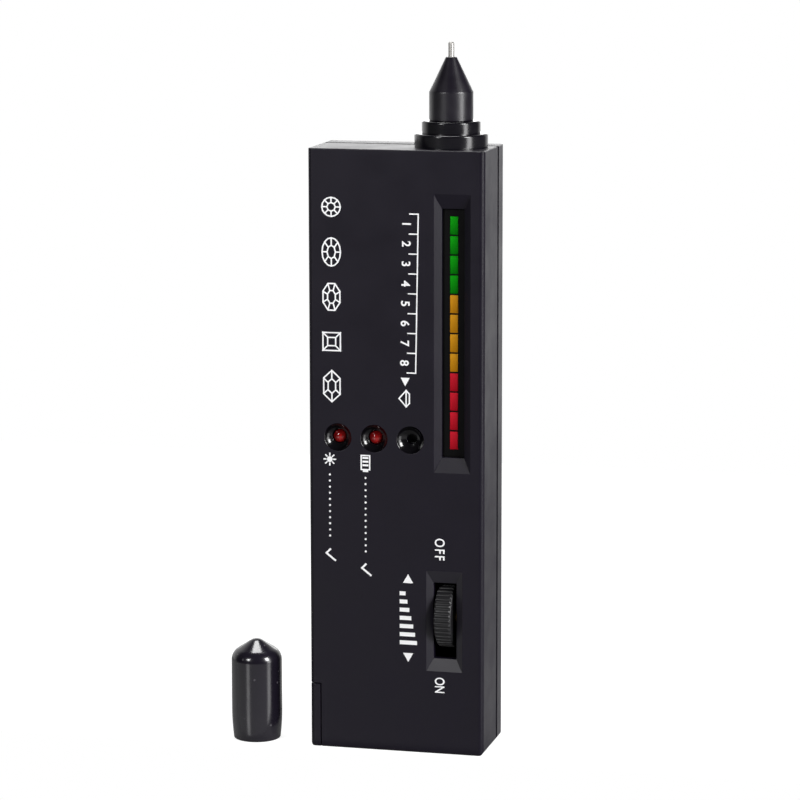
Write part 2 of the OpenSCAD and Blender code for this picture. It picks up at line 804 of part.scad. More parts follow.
// Chip lying along Z in front of the board, with bent legs on both long sides
module chip(x, z, pins) {
    l = pins * leg_pitch;
    top = board_y - chip_lift - chip_h;
    color("#1c1c1e") {
        box([x - chip_w / 2, top, z - l / 2], [x + chip_w / 2, board_y - chip_lift, z + l / 2]);
        for (side = [-1, 1], i = [0:pins - 1]) {
            leg_y = top + chip_h / 2;
            translate([x, leg_y, z - l / 2 + (i + 0.5) * leg_pitch]) mirror([side < 0 ? 1 : 0, 0, 0])
                translate([chip_w / 2, 0, -leg_w / 2]) {
                    translate([-leg_t, 0, 0]) cube([leg_out + 2 * leg_t, leg_t, leg_w]);
                    translate([leg_out, 0, 0]) cube([leg_t, board_y - seat - leg_y, leg_w]);
                }
        }
    }
}

module display_driver_a() chip(dish_x[2], driver_z[1], driver_pins);
module display_driver_b() chip(dish_x[2], driver_z[0], driver_pins);
module amplifier_chip() chip(small_x, small_z, small_pins);

// Round can standing on the board, with a groove near its foot
module capacitor(z) {
    color("#30343c") translate([small_x, board_y - seat, z]) rotate([90, 0, 0])
        rotate_extrude() difference() {
            square([cap_can_r, cap_can_h]);
            translate([cap_can_r + can_groove_r / 2, can_groove_z]) circle(can_groove_r);
        }
}

module capacitor_a() capacitor(small_z - small_step);
module capacitor_b() capacitor(small_z + small_step);

// Wheel with grooves across its rim, a keyed hub and a seat for its screw
module thumbwheel() {
    color("#3a3a40") translate([wheel_x, wheel_y, wheel_z]) rotate([0, 90, 0]) difference() {
        rotate_extrude() wheel_outline();
        for (i = [0:rib_count - 1]) rotate([0, 0, i * 360 / rib_count])
            translate([wheel_r, 0, -1]) cylinder(r = groove_r, h = wheel_w + 2, $fn = 16);
        translate([0, 0, hub_x - wheel_x]) spindle_outline(spindle_r + thread_gap, wheel_w);
        translate([0, 0, -1]) cylinder(r = spindle_r * 1.1, h = 1 + screw_seat);
        cylinder(r = spindle_r * 0.55, h = wheel_w);
    }
}

module wheel_outline() {
    difference() {
        polygon([
            [0, 0], [wheel_r - rim_chamfer, 0], [wheel_r, rim_chamfer],
            [wheel_r, wheel_w - rim_chamfer], [wheel_r - rim_chamfer, wheel_w], [0, wheel_w]
        ]);
        translate([spindle_r * 2, -1]) square([wheel_r - spindle_r * 2 - wheel_rim, 1 + wheel_dish]);
    }
}

// Round bar with one flat, so that the wheel can't slip on it
module spindle_outline(r, h) {
    difference() {
        cylinder(r = r, h = h);
        translate([r * 0.75, -r, -1]) cube([r, 2 * r, h + 2]);
    }
}

module wheel_spindle() {
    round_z = wheel_x + wheel_w - hub_x;
    color("#b8b4a8") translate([hub_x + seat, wheel_y, wheel_z]) rotate([0, 90, 0]) difference() {
        union() {
            spindle_outline(spindle_r, control_x - hub_x);
            translate([0, 0, round_z]) cylinder(r = spindle_r, h = spindle_end - hub_x - round_z - 2 * seat);
        }
        translate([0, 0, -1]) cylinder(r = spindle_r * 0.5, h = 1 + wheel_screw_l);
    }
}

module wheel_screw() {
    head_h = screw_seat - part_gap;
    head_x = wheel_x + screw_seat - seat;
    color("#a8a8ac") translate([head_x, wheel_y, wheel_z]) rotate([0, -90, 0]) difference() {
        union() {
            cylinder(r = spindle_r * 0.95, h = head_h);
            translate([0, 0, -wheel_screw_l])
                cylinder(r = spindle_r * 0.5 - thread_gap, h = wheel_screw_l + eps);
        }
        translate([0, 0, head_h]) cross_drive(spindle_r * 1.1, head_h / 2);
    }
}

module volume_control() {
    color("#6b5a34") difference() {
        union() {
            box([control_x, control_y, wheel_z - control_h / 2],
                [in_right - part_gap, board_y - seat, wheel_z + control_h / 2]);
            for (step = [-1:1]) board_wire(control_pin_x(), wheel_z + step * control_h / 3, board_y - 1);
        }
        rod_x(wheel_y, wheel_z, spindle_r + spindle_gap, control_x - 1, spindle_end);
    }
}

module battery() {
    color("#51565e") translate([terminal_x(0), -battery_t / 2, battery_z])
        linear_extrude(battery_l) soft_rect(battery_w, battery_t, battery_r, battery_r);
}

function terminal_x(side) = left + battery_in + battery_w / 2 + side * terminal_pitch / 2;

module battery_terminals() {
    color("#c8c8c8") translate([0, 0, battery_z + battery_l + seat]) {
        translate([terminal_x(-1), 0, 0]) cylinder(r = stud_r, h = terminal_h);
        translate([terminal_x(1), 0, 0]) difference() {
            cylinder(r = socket_r, h = terminal_h, $fn = 6);
            translate([0, 0, terminal_h / 4]) cylinder(r = stud_r + thread_gap, h = terminal_h);
        }
    }
}

module battery_snap() {
    color("#18181a") difference() {
        translate([terminal_x(0), -snap_t / 2, snap_z])
            linear_extrude(snap_h) soft_rect(snap_w, snap_t, snap_r, snap_r);
        for (side = [-1, 1]) translate([terminal_x(side), 0, snap_z - 1])
            cylinder(r = socket_r + bay_gap, h = 1 + terminal_h + part_gap);
    }
}

// Point of a smooth curve through p, at t spans from its start
function along(p, t) = let(
    i = min(floor(t), len(p) - 2), u = t - i,
    a = p[max(i - 1, 0)], b = p[i], c = p[i + 1], d = p[min(i + 2, len(p) - 1)]
) b + u * (c - a) / 2 + u * u * (2 * a - 5 * b + 4 * c - d) / 2 + u * u * u * (3 * b - a - 3 * c + d) / 2;

// Faces of a tube of rings, each with the same number of points, closed at both ends
function tube_faces(rings, sides) = concat(
    [[for (k = [0:sides - 1]) k]],
    [[for (k = [0:sides - 1]) rings * sides - 1 - k]],
    [for (i = [0:rings - 2], k = [0:sides - 1])
        let(a = i * sides + k, b = i * sides + (k + 1) % sides) [a, a + sides, b]],
    [for (i = [0:rings - 2], k = [0:sides - 1])
        let(a = i * sides + k, b = i * sides + (k + 1) % sides) [b, a + sides, b + sides]]
);

// Insulated lead in the plane at x, along a route on Y and Z that starts upright and ends square to the board
module lead(x, route, r) {
    sides = 8;
    rings = 5 * (len(route) - 1) + 1;
    at = [for (i = [0:rings - 1]) along(route, i / 5)];
    first = [0, sign(at[1][1] - at[0][1])];
    way = [for (i = [0:rings - 1])
        let(d = i == 0 ? first : i == rings - 1 ? [1, 0] : at[i + 1] - at[i - 1]) d / norm(d)];
    points = [for (i = [0:rings - 1], k = [0:sides - 1]) let(a = k * 360 / sides)
        [x + r * cos(a), at[i][0] + r * sin(a) * way[i][1], at[i][1] - r * sin(a) * way[i][0]]];
    polyhedron(points, tube_faces(rings, sides));
}

module battery_lead_red() {
    color("#b02020") lead(terminal_x(0) - battery_lead_x, battery_route, battery_lead_r);
}

module battery_lead_black() {
    color("#202020") lead(terminal_x(0) + battery_lead_x, battery_route, battery_lead_r);
}

module probe_lead_a() {
    color("#d8d8d0") lead(probe_x - probe_lead_x, probe_route, probe_lead_r);
}

module probe_lead_b() {
    color("#c03028") lead(probe_x - probe_lead_x - probe_lead_step, probe_route, probe_lead_r);
}

// Ring from 0 to h whose upper outer edge is rounded
module ring_outline(r, h) {
    square([r - ring_edge, h]);
    square([r, h - ring_edge]);
    translate([r - ring_edge, h - ring_edge]) circle(ring_edge);
}

// Stepped collar: two rings outside, a neck in the top wall and a flange under it
module probe_collar() {
    color("#0e0e10") translate([probe_x, 0, 0]) rotate_extrude() difference() {
        union() {
            translate([0, ring_z]) ring_outline(ring_r, ring_h);
            translate([0, step_z - eps]) ring_outline(step_r, step_h + eps);
            translate([0, flange_z]) square([neck_r, ring_z - flange_z + 1]);
            translate([0, flange_z]) square([flange_r, flange_t]);
        }
        translate([-1, flange_z - 1]) square([spigot_r + thread_gap + 1, nose_z - flange_z + 2]);
    }
}

// Hollow nose: a spigot in the collar, a straight part and a cone with the pin's hole
module probe_nose() {
    color("#161619") translate([probe_x, 0, 0]) rotate_extrude() polygon([
        [chamber_r, flange_z], [spigot_r, flange_z], [spigot_r, nose_z + seat], [nose_r, nose_z + seat],
        [nose_r, cone_z], [cone_r, tip_z], [pin_r + pin_gap, tip_z], [pin_r + pin_gap, stop_z],
        [chamber_r, stop_z]
    ]);
}

module probe_tip() {
    edge = pin_r * 0.4;
    foot = heater_z + heater_floor;
    end = tip_z + pin_out;
    color("#c9c4ba") translate([probe_x, 0, 0]) rotate_extrude() polygon([
        [0, foot], [pin_r, foot], [pin_r, end - edge], [pin_r - edge, end], [0, end]
    ]);
}

module probe_heater() {
    color("#8a5a3a") translate([probe_x, 0, heater_z]) difference() {
        cylinder(r = chamber_r - heater_gap, h = heater_h);
        translate([0, 0, heater_floor - seat]) cylinder(r = pin_r + thread_gap, h = heater_h);
    }
}

// Open coil between the plug and the heater block, as one tube along a helix
module probe_spring() {
    sides = 6;
    rings = spring_turns * 8 + 1;
    rise = spring_h - spring_wire - 2 * seat;
    slope = rise / (360 * spring_turns) * 180 / PI / spring_r;
    echo(str("probe spring, least gap between turns: ", rise / spring_turns - spring_wire, " mm"));
    points = [for (i = [0:rings - 1], k = [0:sides - 1])
        let(
            a = i * 45, b = k * 360 / sides,
            out = spring_r + spring_wire / 2 * cos(b), up = spring_wire / 2 * sin(b)
        )
        [
            out * cos(a) + up * slope * sin(a), out * sin(a) - up * slope * cos(a),
            up + rise * i / (rings - 1)
        ]];
    color("#c0c0c4") translate([probe_x, 0, plug_z + seat + spring_wire / 2])
        polyhedron(points, tube_faces(rings, sides));
}

module probe_plug() {
    color("#d6d2c4") translate([probe_x, 0, plug_end]) cylinder(r = chamber_r - thread_gap, h = plug_h);
}

// Slip-on cap with a bore for the nose, standing on its open end
module tip_cap() {
    color("#0c0c0e") translate([cap_at[0], cap_at[1], 0]) rotate_extrude() difference() {
        cap_outline(cap_r, cap_h, cap_shoulder, cap_end);
        translate([-1, -1]) square([cap_in + 1, cap_h]);
        polygon([
            [0, cap_h - 1 - eps], [cap_in, cap_h - 1 - eps], [cap_in - 1, cap_h], [0, cap_top() - cap_roof]
        ]);
    }
}

function cap_top() = cap_h + cap_shoulder * sin(90 - cap_slope)
    + (cap_r - cap_shoulder + cap_shoulder * cos(90 - cap_slope)) * tan(cap_slope);

// Half outline: a rounded rim, a straight side, a round shoulder and a cone with a rounded end
module cap_outline(r, h, shoulder, end) {
    turn = 90 - cap_slope;
    knee = [r - shoulder + shoulder * cos(turn), h + shoulder * sin(turn)];
    end_z = cap_top() - end / cos(cap_slope);
    peak = [end * cos(turn), end_z + end * sin(turn)];
    rim = min(cap_rim, cap_wall - 0.02);
    translate([0, rim]) square([r, h - rim]);
    square([r - rim, 2 * rim]);
    translate([r - rim, rim]) circle(rim);
    translate([r - shoulder, h]) intersection() {
        circle(shoulder);
        translate([0, -shoulder]) square([shoulder, 2 * shoulder]);
    }
    polygon([[0, h - 1], [r - shoulder, h - 1], [r - shoulder, h], knee, peak, [0, peak[1]]]);
    translate([0, end_z]) intersection() {
        circle(end);
        translate([0, -end]) square([end, 2 * end]);
    }
}

front_shell();
rear_shell();
battery_door();
case_screws();
circuit_board();
board_screws();
led_holder();
for (i = [1:led_count]) bar_led(i);
ready_lamp();
battery_lamp();
buzzer();
display_driver_a();
display_driver_b();
amplifier_chip();
capacitor_a();
capacitor_b();
thumbwheel();
wheel_spindle();
wheel_screw();
volume_control();
battery();
battery_terminals();
battery_snap();
battery_lead_red();
battery_lead_black();
probe_collar();
probe_nose();
probe_tip();
probe_heater();
probe_spring();
probe_plug();
probe_lead_a();
probe_lead_b();
tip_cap();
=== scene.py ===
from math import asin, cos, degrees, pi, radians, sin, sqrt

import bpy
from mathutils import Matrix, Vector


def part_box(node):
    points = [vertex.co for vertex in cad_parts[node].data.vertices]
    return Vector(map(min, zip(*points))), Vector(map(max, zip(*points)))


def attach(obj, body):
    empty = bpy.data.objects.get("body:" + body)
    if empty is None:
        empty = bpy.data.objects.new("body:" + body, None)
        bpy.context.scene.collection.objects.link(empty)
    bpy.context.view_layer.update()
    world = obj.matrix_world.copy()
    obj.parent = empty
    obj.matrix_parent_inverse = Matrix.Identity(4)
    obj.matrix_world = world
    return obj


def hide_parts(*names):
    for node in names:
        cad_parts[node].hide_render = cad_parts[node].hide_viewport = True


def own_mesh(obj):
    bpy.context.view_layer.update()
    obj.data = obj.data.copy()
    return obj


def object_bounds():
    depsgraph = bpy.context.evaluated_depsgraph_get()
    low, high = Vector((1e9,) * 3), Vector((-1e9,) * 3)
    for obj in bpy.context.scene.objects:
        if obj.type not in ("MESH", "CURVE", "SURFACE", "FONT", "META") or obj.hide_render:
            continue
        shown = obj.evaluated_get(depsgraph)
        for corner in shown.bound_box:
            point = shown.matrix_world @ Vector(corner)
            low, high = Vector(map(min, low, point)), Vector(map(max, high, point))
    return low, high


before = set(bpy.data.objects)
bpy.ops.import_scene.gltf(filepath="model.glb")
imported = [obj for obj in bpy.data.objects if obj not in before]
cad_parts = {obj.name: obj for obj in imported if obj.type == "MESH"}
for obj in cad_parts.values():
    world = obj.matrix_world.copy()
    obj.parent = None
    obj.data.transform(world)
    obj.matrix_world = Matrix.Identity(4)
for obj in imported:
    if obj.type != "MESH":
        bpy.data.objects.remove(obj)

mm = 0.001
weld = {"distance": 0.002, "flatTurn": 0.4}     # mm between points, degrees between faces, that become one
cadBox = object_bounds()


# Camera: the photograph's place, aim and lens

cameraView = {"place": (211.47, -845.54, 237.36), "turn": 14.15, "dip": 9.57, "tilt": -0.09,
              "lens": 154.38, "sensor": 36}     # mm and degrees

bpy.ops.object.camera_add()
camera = bpy.context.object
camera.matrix_world = (Matrix.Translation(Vector(cameraView["place"]) * mm)
                       @ Matrix.Rotation(radians(cameraView["turn"]), 4, "Z")
                       @ Matrix.Rotation(radians(90 - cameraView["dip"]), 4, "X")
                       @ Matrix.Rotation(radians(cameraView["tilt"]), 4, "Z"))
camera.data.lens = cameraView["lens"]
camera.data.sensor_width = cameraView["sensor"]
bpy.context.scene.camera = camera
bpy.context.scene.view_settings.view_transform = "Standard"
print("camera set")


# Small helpers

def hexColour(code):     # sRGB hex to a linear colour
    parts = [int(code[i:i + 2], 16) / 255 for i in (1, 3, 5)]
    return [p / 12.92 if p <= 0.04045 else ((p + 0.055) / 1.055) ** 2.4 for p in parts] + [1]


def perMetre(sizeMm):     # texture scale for features of this size
    return 1000 / sizeMm


def addNode(tree, kind, settings=None, links=None):     # settings and links by attribute, name or number
    node = tree.nodes.new(kind)
    for key, value in (settings or {}).items():
        if isinstance(key, str) and hasattr(node, key):
            setattr(node, key, value)
        else:
            node.inputs[key].default_value = value
    for key, source in (links or {}).items():
        tree.links.new(source, node.inputs[key])
    return node


def newMaterial(name):
    material = bpy.data.materials.new(name)
    material.use_nodes = True
    material.node_tree.nodes.clear()
    return material, material.node_tree


def selectOnly(piece):
    bpy.ops.object.select_all(action="DESELECT")
    bpy.context.view_layer.objects.active = piece
    piece.select_set(True)


def editAll(piece):     # edit mode with the whole mesh selected
    selectOnly(piece)
    bpy.ops.object.mode_set(mode="EDIT")
    bpy.ops.mesh.select_all(action="SELECT")


def leaveEdit():
    bpy.ops.object.mode_set(mode="OBJECT")


def nodeCopy(node, name):     # welded copy of a CAD node, ready to be shaped
    piece = bpy.data.objects.new(name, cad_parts[node].data.copy())
    bpy.context.scene.collection.objects.link(piece)
    editAll(piece)
    bpy.ops.mesh.customdata_custom_splitnormals_clear()
    bpy.ops.mesh.remove_doubles(threshold=weld["distance"] * mm)
    bpy.ops.mesh.dissolve_limited(angle_limit=radians(weld["flatTurn"]))
    leaveEdit()
    return piece


def roundEdges(piece, radius, where=None, sharpness=25, segments=3):     # radius in mm, sharpness in degrees
    editAll(piece)
    bpy.ops.mesh.select_mode(type="EDGE")
    bpy.ops.mesh.select_all(action="DESELECT")
    bpy.ops.mesh.edges_select_sharp(sharpness=radians(sharpness))
    leaveEdit()
    if where:
        points = piece.data.vertices
        for edge in piece.data.edges:
            middle = (points[edge.vertices[0]].co + points[edge.vertices[1]].co) / 2 / mm
            edge.select = edge.select and where(middle)
    bpy.ops.object.mode_set(mode="EDIT")
    bpy.ops.mesh.bevel(offset=radius * mm, segments=segments, profile=0.5, affect="EDGES", clamp_overlap=True)
    bpy.ops.mesh.select_mode(type="VERT")
    leaveEdit()


def smoothFaces(piece, angle=36, flat=True):     # smooth roundings, with large faces kept flat beside them
    selectOnly(piece)
    bpy.ops.object.shade_smooth_by_angle(angle=radians(angle))
    if flat:
        modifier = piece.modifiers.new("flatFaces", "WEIGHTED_NORMAL")
        modifier.keep_sharp = True
        bpy.ops.object.modifier_apply(modifier=modifier.name)


def dress(piece, *materials):
    piece.data.materials.clear()
    for material in materials:
        piece.data.materials.append(material)


def standFor(piece, node, body):     # the piece takes a CAD node's place on its body
    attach(piece, body)
    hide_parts(node)


# Studio: white floor and backdrop, softboxes on four sides, dim panels for the long soft reflections

studio = {"floorFront": 16, "floorBack": 390, "floorSide": 500, "ambient": 0.04, "seenGlow": 0.85,
          "mirrorGlow": 0.12, "paper": "#a0a0a0", "backdropSide": (-0.45, 0.89, 0),
          "backdropEdge": (0.4, 0.75), "tableGlow": 0.65, "tableEdge": (-0.22, -0.08),
          "tableNear": (-0.75, -0.4), "tableShade": 0.3}     # floor in mm, edges as parts of a direction
softboxes = {     # place, size across and up in mm, power in watts
    "rightBox": ((640, -280, 375), (200, 300), 7.5),
    "leftBox": ((-370, -720, 400), (150, 200), 3.2),
    "topBox": ((-80, 140, 740), (300, 160), 2.6),
    "backBox": ((-290, 1150, 330), (900, 300), 2.0),
    "rightPanel": ((730, -235, 130), (210, 240), 1.4),
    "rightTable": ((730, -235, -150), (210, 300), 0.6),
    "leftTable": ((-440, -900, -280), (230, 340), 0.6),
}

world = bpy.data.worlds.new("whiteStudio")
bpy.context.scene.world = world
world.use_nodes = True
tree = world.node_tree
tree.nodes.clear()
ray = addNode(tree, "ShaderNodeLightPath")
aim = addNode(tree, "ShaderNodeTexCoord")
facing = addNode(tree, "ShaderNodeVectorMath", {"operation": "DOT_PRODUCT", 1: studio["backdropSide"]},
                 {0: aim.outputs["Generated"]})
behind = addNode(tree, "ShaderNodeMapRange",
                 {"From Min": studio["backdropEdge"][0], "From Max": studio["backdropEdge"][1]},
                 {"Value": facing.outputs["Value"]})     # gloss sees the white backdrop where it stands
mirrored = addNode(tree, "ShaderNodeMath", {"operation": "MULTIPLY"},
                   {0: ray.outputs["Is Glossy Ray"], 1: behind.outputs["Result"]})
rise = addNode(tree, "ShaderNodeSeparateXYZ", links={0: aim.outputs["Generated"]}).outputs["Z"]
below = addNode(tree, "ShaderNodeMapRange",
                {"From Min": studio["tableEdge"][0], "From Max": studio["tableEdge"][1],
                 "To Min": studio["tableGlow"], "To Max": 0.0},
                {"Value": rise})     # and a dim table below the horizon
shade = addNode(tree, "ShaderNodeMapRange",
                {"From Min": studio["tableNear"][0], "From Max": studio["tableNear"][1],
                 "To Min": studio["tableShade"]},
                {"Value": rise})     # darker near the object
lit = addNode(tree, "ShaderNodeMath", {"operation": "MULTIPLY"},
              {0: below.outputs["Result"], 1: shade.outputs["Result"]})
table = addNode(tree, "ShaderNodeMath", {"operation": "MULTIPLY"},
                {0: ray.outputs["Is Glossy Ray"], 1: lit.outputs[0]})
through = addNode(tree, "ShaderNodeMath", {"operation": "MAXIMUM"},
                  {0: ray.outputs["Is Camera Ray"], 1: ray.outputs["Is Transmission Ray"]})
around = addNode(tree, "ShaderNodeMath", {"operation": "MAXIMUM"},
                 {0: mirrored.outputs[0], 1: table.outputs[0]})
white = addNode(tree, "ShaderNodeMath", {"operation": "MAXIMUM"},
                {0: through.outputs[0], 1: around.outputs[0]})
level = addNode(tree, "ShaderNodeMapRange", {"To Min": studio["ambient"], "To Max": 1.0},
                {"Value": white.outputs[0]})
sky = addNode(tree, "ShaderNodeBackground", {"Color": (1, 1, 1, 1)}, {"Strength": level.outputs["Result"]})
addNode(tree, "ShaderNodeOutputWorld", links={"Surface": sky.outputs[0]})

bpy.ops.object.select_all(action="DESELECT")
bpy.ops.mesh.primitive_plane_add(size=1)
floor = bpy.context.object
floor.name = "floor"
floor.scale = (2 * studio["floorSide"] * mm, (studio["floorFront"] + studio["floorBack"]) * mm, 1)
floor.location.y = (studio["floorBack"] - studio["floorFront"]) / 2 * mm
bpy.ops.object.transform_apply(location=True, rotation=True, scale=True)
paper, tree = newMaterial("whitePaper")
ray = addNode(tree, "ShaderNodeLightPath")
seen = addNode(tree, "ShaderNodeMath", {"operation": "MAXIMUM"},
               {0: ray.outputs["Is Camera Ray"], 1: ray.outputs["Is Transmission Ray"]})
mirrored = addNode(tree, "ShaderNodeMath", {"operation": "MULTIPLY", 1: studio["mirrorGlow"]},
                   {0: ray.outputs["Is Glossy Ray"]})
glow = addNode(tree, "ShaderNodeMath", {"operation": "MULTIPLY_ADD", 1: studio["seenGlow"]},
               {0: seen.outputs[0], 2: mirrored.outputs[0]})
sheet = addNode(tree, "ShaderNodeBsdfDiffuse", {"Color": hexColour(studio["paper"])})
light = addNode(tree, "ShaderNodeEmission", {"Color": (1, 1, 1, 1)}, {"Strength": glow.outputs[0]})
both = addNode(tree, "ShaderNodeAddShader", links={0: sheet.outputs[0], 1: light.outputs[0]})
addNode(tree, "ShaderNodeOutputMaterial", links={"Surface": both.outputs[0]})
dress(floor, paper)

middle = (cadBox[0] + cadBox[1]) / 2
for name, (place, size, power) in softboxes.items():
    bpy.ops.object.light_add(type="AREA", location=Vector(place) * mm)
    box = bpy.context.object
    box.name = name
    box.data.shape = "RECTANGLE"
    box.data.size = size[0] * mm
    box.data.size_y = size[1] * mm
    box.data.energy = power
    box.rotation_euler = (middle - box.location).to_track_quat("-Z", "Y").to_euler()
    box.visible_camera = False
print("studio lit")


# Plastics: a dark or coloured body, cloudy at large scale and grained at small scale

surface = {"noise": (0.3, 0.7), "grainDepth": 0.05, "markDepth": 0.02}     # span of a noise, depths in mm


def mouldedPlastic(name, low, high, cloud, grain, rough, bump, level=0.5):     # cloud and grain in mm
    material, tree = newMaterial(name)
    place = addNode(tree, "ShaderNodeTexCoord").outputs["Object"]
    clouds = addNode(tree, "ShaderNodeTexNoise", {"Scale": perMetre(cloud), "Detail": 4}, {"Vector": place})
    grains = addNode(tree, "ShaderNodeTexNoise", {"Scale": perMetre(grain), "Detail": 2}, {"Vector": place})
    tint = addNode(tree, "ShaderNodeMix", {"data_type": "RGBA", 6: hexColour(low), 7: hexColour(high)},
                   {0: clouds.outputs["Fac"]})
    gloss = addNode(tree, "ShaderNodeMapRange",
                    {"From Min": surface["noise"][0], "From Max": surface["noise"][1],
                     "To Min": rough[0], "To Max": rough[1]}, {"Value": clouds.outputs["Fac"]})
    relief = addNode(tree, "ShaderNodeBump", {"Strength": bump, "Distance": surface["grainDepth"] * mm},
                     {"Height": grains.outputs["Fac"]})
    shader = addNode(tree, "ShaderNodeBsdfPrincipled", {"Specular IOR Level": level},
                     {"Base Color": tint.outputs[2], "Roughness": gloss.outputs["Result"],
                      "Normal": relief.outputs["Normal"]})
    addNode(tree, "ShaderNodeOutputMaterial", links={"Surface": shader.outputs[0]})
    return material


# Moulded ABS: satin black with a violet cast, faintly cloudy where it has been handled
satinAbs = mouldedPlastic("satinAbs", "#0f0c16", "#130f1b", cloud=9, grain=0.3,
                          rough=(0.36, 0.44), bump=0.12, level=0.2)
# The same ABS where it shines more: the rear half, the top and the wheel's frame
brightAbs = mouldedPlastic("brightAbs", "#0f0c16", "#130f1b", cloud=9, grain=0.3,
                           rough=(0.36, 0.44), bump=0.12, level=0.5)
# The same ABS in the dishes: smoother, as from polished parts of the mould, and darker in colour, with one
# soft glint
dishAbs = mouldedPlastic("dishAbs", "#060508", "#09080b", cloud=6, grain=1.5,
                         rough=(0.11, 0.16), bump=0.03, level=0.4)
# Lamp bar of matt black nylon: swallows light round the lamps
mattNylon = mouldedPlastic("mattNylon", "#020202", "#040405", cloud=4, grain=0.2,
                           rough=(0.6, 0.7), bump=0.2, level=0.1)
# Wheel of the case's ABS, worn smoother by the thumb
wornAbs = mouldedPlastic("wornAbs", "#08070a", "#0f0e12", cloud=3, grain=0.25,
                         rough=(0.48, 0.56), bump=0.06, level=0.5)
# Collar turned from acetal and polished: deep black, sharp highlights
glossAcetal = mouldedPlastic("glossAcetal", "#08070c", "#0c0a11", cloud=5, grain=1.2,
                             rough=(0.16, 0.22), bump=0.02)
# Nose of acetal left as turned: soft vertical highlights
satinAcetal = mouldedPlastic("satinAcetal", "#0e0b13", "#130f19", cloud=4, grain=0.4,
                             rough=(0.28, 0.36), bump=0.08)
# Moulded epoxy of chips, sounder and battery snap: dull dark grey
chipEpoxy = mouldedPlastic("chipEpoxy", "#131314", "#1b1b1d", cloud=2, grain=0.15,
                           rough=(0.55, 0.65), bump=0.3)
# Phenolic paper board of the volume control: warm brown
brownPhenolic = mouldedPlastic("brownPhenolic", "#3a2416", "#4a301d", cloud=1.5, grain=0.3,
                               rough=(0.4, 0.5), bump=0.2)
# Nylon plug: milky white
milkNylon = mouldedPlastic("milkNylon", "#d8d3c5", "#e6e2d6", cloud=2, grain=0.3,
                           rough=(0.4, 0.5), bump=0.1)
# PVC insulation of the leads: smooth and slightly waxy
redPvc = mouldedPlastic("redPvc", "#8f1413", "#a81b19", cloud=3, grain=0.4,
                        rough=(0.3, 0.4), bump=0.08)
blackPvc = mouldedPlastic("blackPvc", "#101011", "#171718", cloud=3, grain=0.4,
                          rough=(0.3, 0.4), bump=0.08)
whitePvc = mouldedPlastic("whitePvc", "#c9c6be", "#dad7cf", cloud=3, grain=0.4,
                          rough=(0.3, 0.4), bump=0.08)
# Shrunk PVC sleeve of the capacitors: dark blue
sleevePvc = mouldedPlastic("sleevePvc", "#141d33", "#1b2743", cloud=4, grain=0.5,
                           rough=(0.25, 0.35), bump=0.06)


# Metals: marks from turning, drawing or plating break up the shine

def workedMetal(name, low, high, mark, stretch, rough, bump):     # mark in mm
    material, tree = newMaterial(name)
    place = addNode(tree, "ShaderNodeTexCoord").outputs["Object"]
    turned = addNode(tree, "ShaderNodeMapping", {"Scale": stretch}, {"Vector": place})
    marks = addNode(tree, "ShaderNodeTexNoise", {"Scale": perMetre(mark), "Detail": 3},
                    {"Vector": turned.outputs["Vector"]})
    tint = addNode(tree, "ShaderNodeMix", {"data_type": "RGBA", 6: hexColour(low), 7: hexColour(high)},
                   {0: marks.outputs["Fac"]})
    gloss = addNode(tree, "ShaderNodeMapRange",
                    {"From Min": surface["noise"][0], "From Max": surface["noise"][1],
                     "To Min": rough[0], "To Max": rough[1]}, {"Value": marks.outputs["Fac"]})
    relief = addNode(tree, "ShaderNodeBump", {"Strength": bump, "Distance": surface["markDepth"] * mm},
                     {"Height": marks.outputs["Fac"]})
    shader = addNode(tree, "ShaderNodeBsdfPrincipled", {"Metallic": 1.0},
                     {"Base Color": tint.outputs[2], "Roughness": gloss.outputs["Result"],
                      "Normal": relief.outputs["Normal"]})
    addNode(tree, "ShaderNodeOutputMaterial", links={"Surface": shader.outputs[0]})
    return material


# Nickel-plated copper pin: bright, drawn lengthwise
platedCopper = workedMetal("platedCopper", "#a09e9b", "#b8b6b3", mark=0.35, stretch=(1, 1, 0.06),
                           rough=(0.45, 0.55), bump=0.02)
# Zinc-plated steel screws: pale and slightly blotched
zincSteel = workedMetal("zincSteel", "#9fa2a6", "#c2c5c8", mark=0.8, stretch=(1, 1, 1),
                        rough=(0.28, 0.42), bump=0.1)
# Drawn spring wire: grey and faintly mottled
springWire = workedMetal("springWire", "#85878a", "#a2a4a6", mark=0.4, stretch=(1, 1, 1),
                         rough=(0.3, 0.45), bump=0.1)
# Turned brass spindle: dull gold with fine marks of the tool
turnedBrass = workedMetal("turnedBrass", "#7a6740", "#93804f", mark=0.3, stretch=(1, 0.1, 0.1),
                          rough=(0.4, 0.5), bump=0.1)
# Copper heater block, darkened by heat
bakedCopper = workedMetal("bakedCopper", "#8f5236", "#b9744f", mark=0.7, stretch=(1, 1, 1),
                          rough=(0.3, 0.5), bump=0.1)
# Nickel-plated contacts of the battery: pale and shiny
nickelPlate = workedMetal("nickelPlate", "#b5b3ab", "#cfccc4", mark=0.5, stretch=(1, 1, 1),
                          rough=(0.2, 0.3), bump=0.05)


# Screen-printed ink: matt white, thin enough to let the grain through in places

inkFinish = {"thin": "#efeff2", "thick": "#ffffff", "pore": 0.25, "rough": (0.45, 0.65), "level": 0.3}


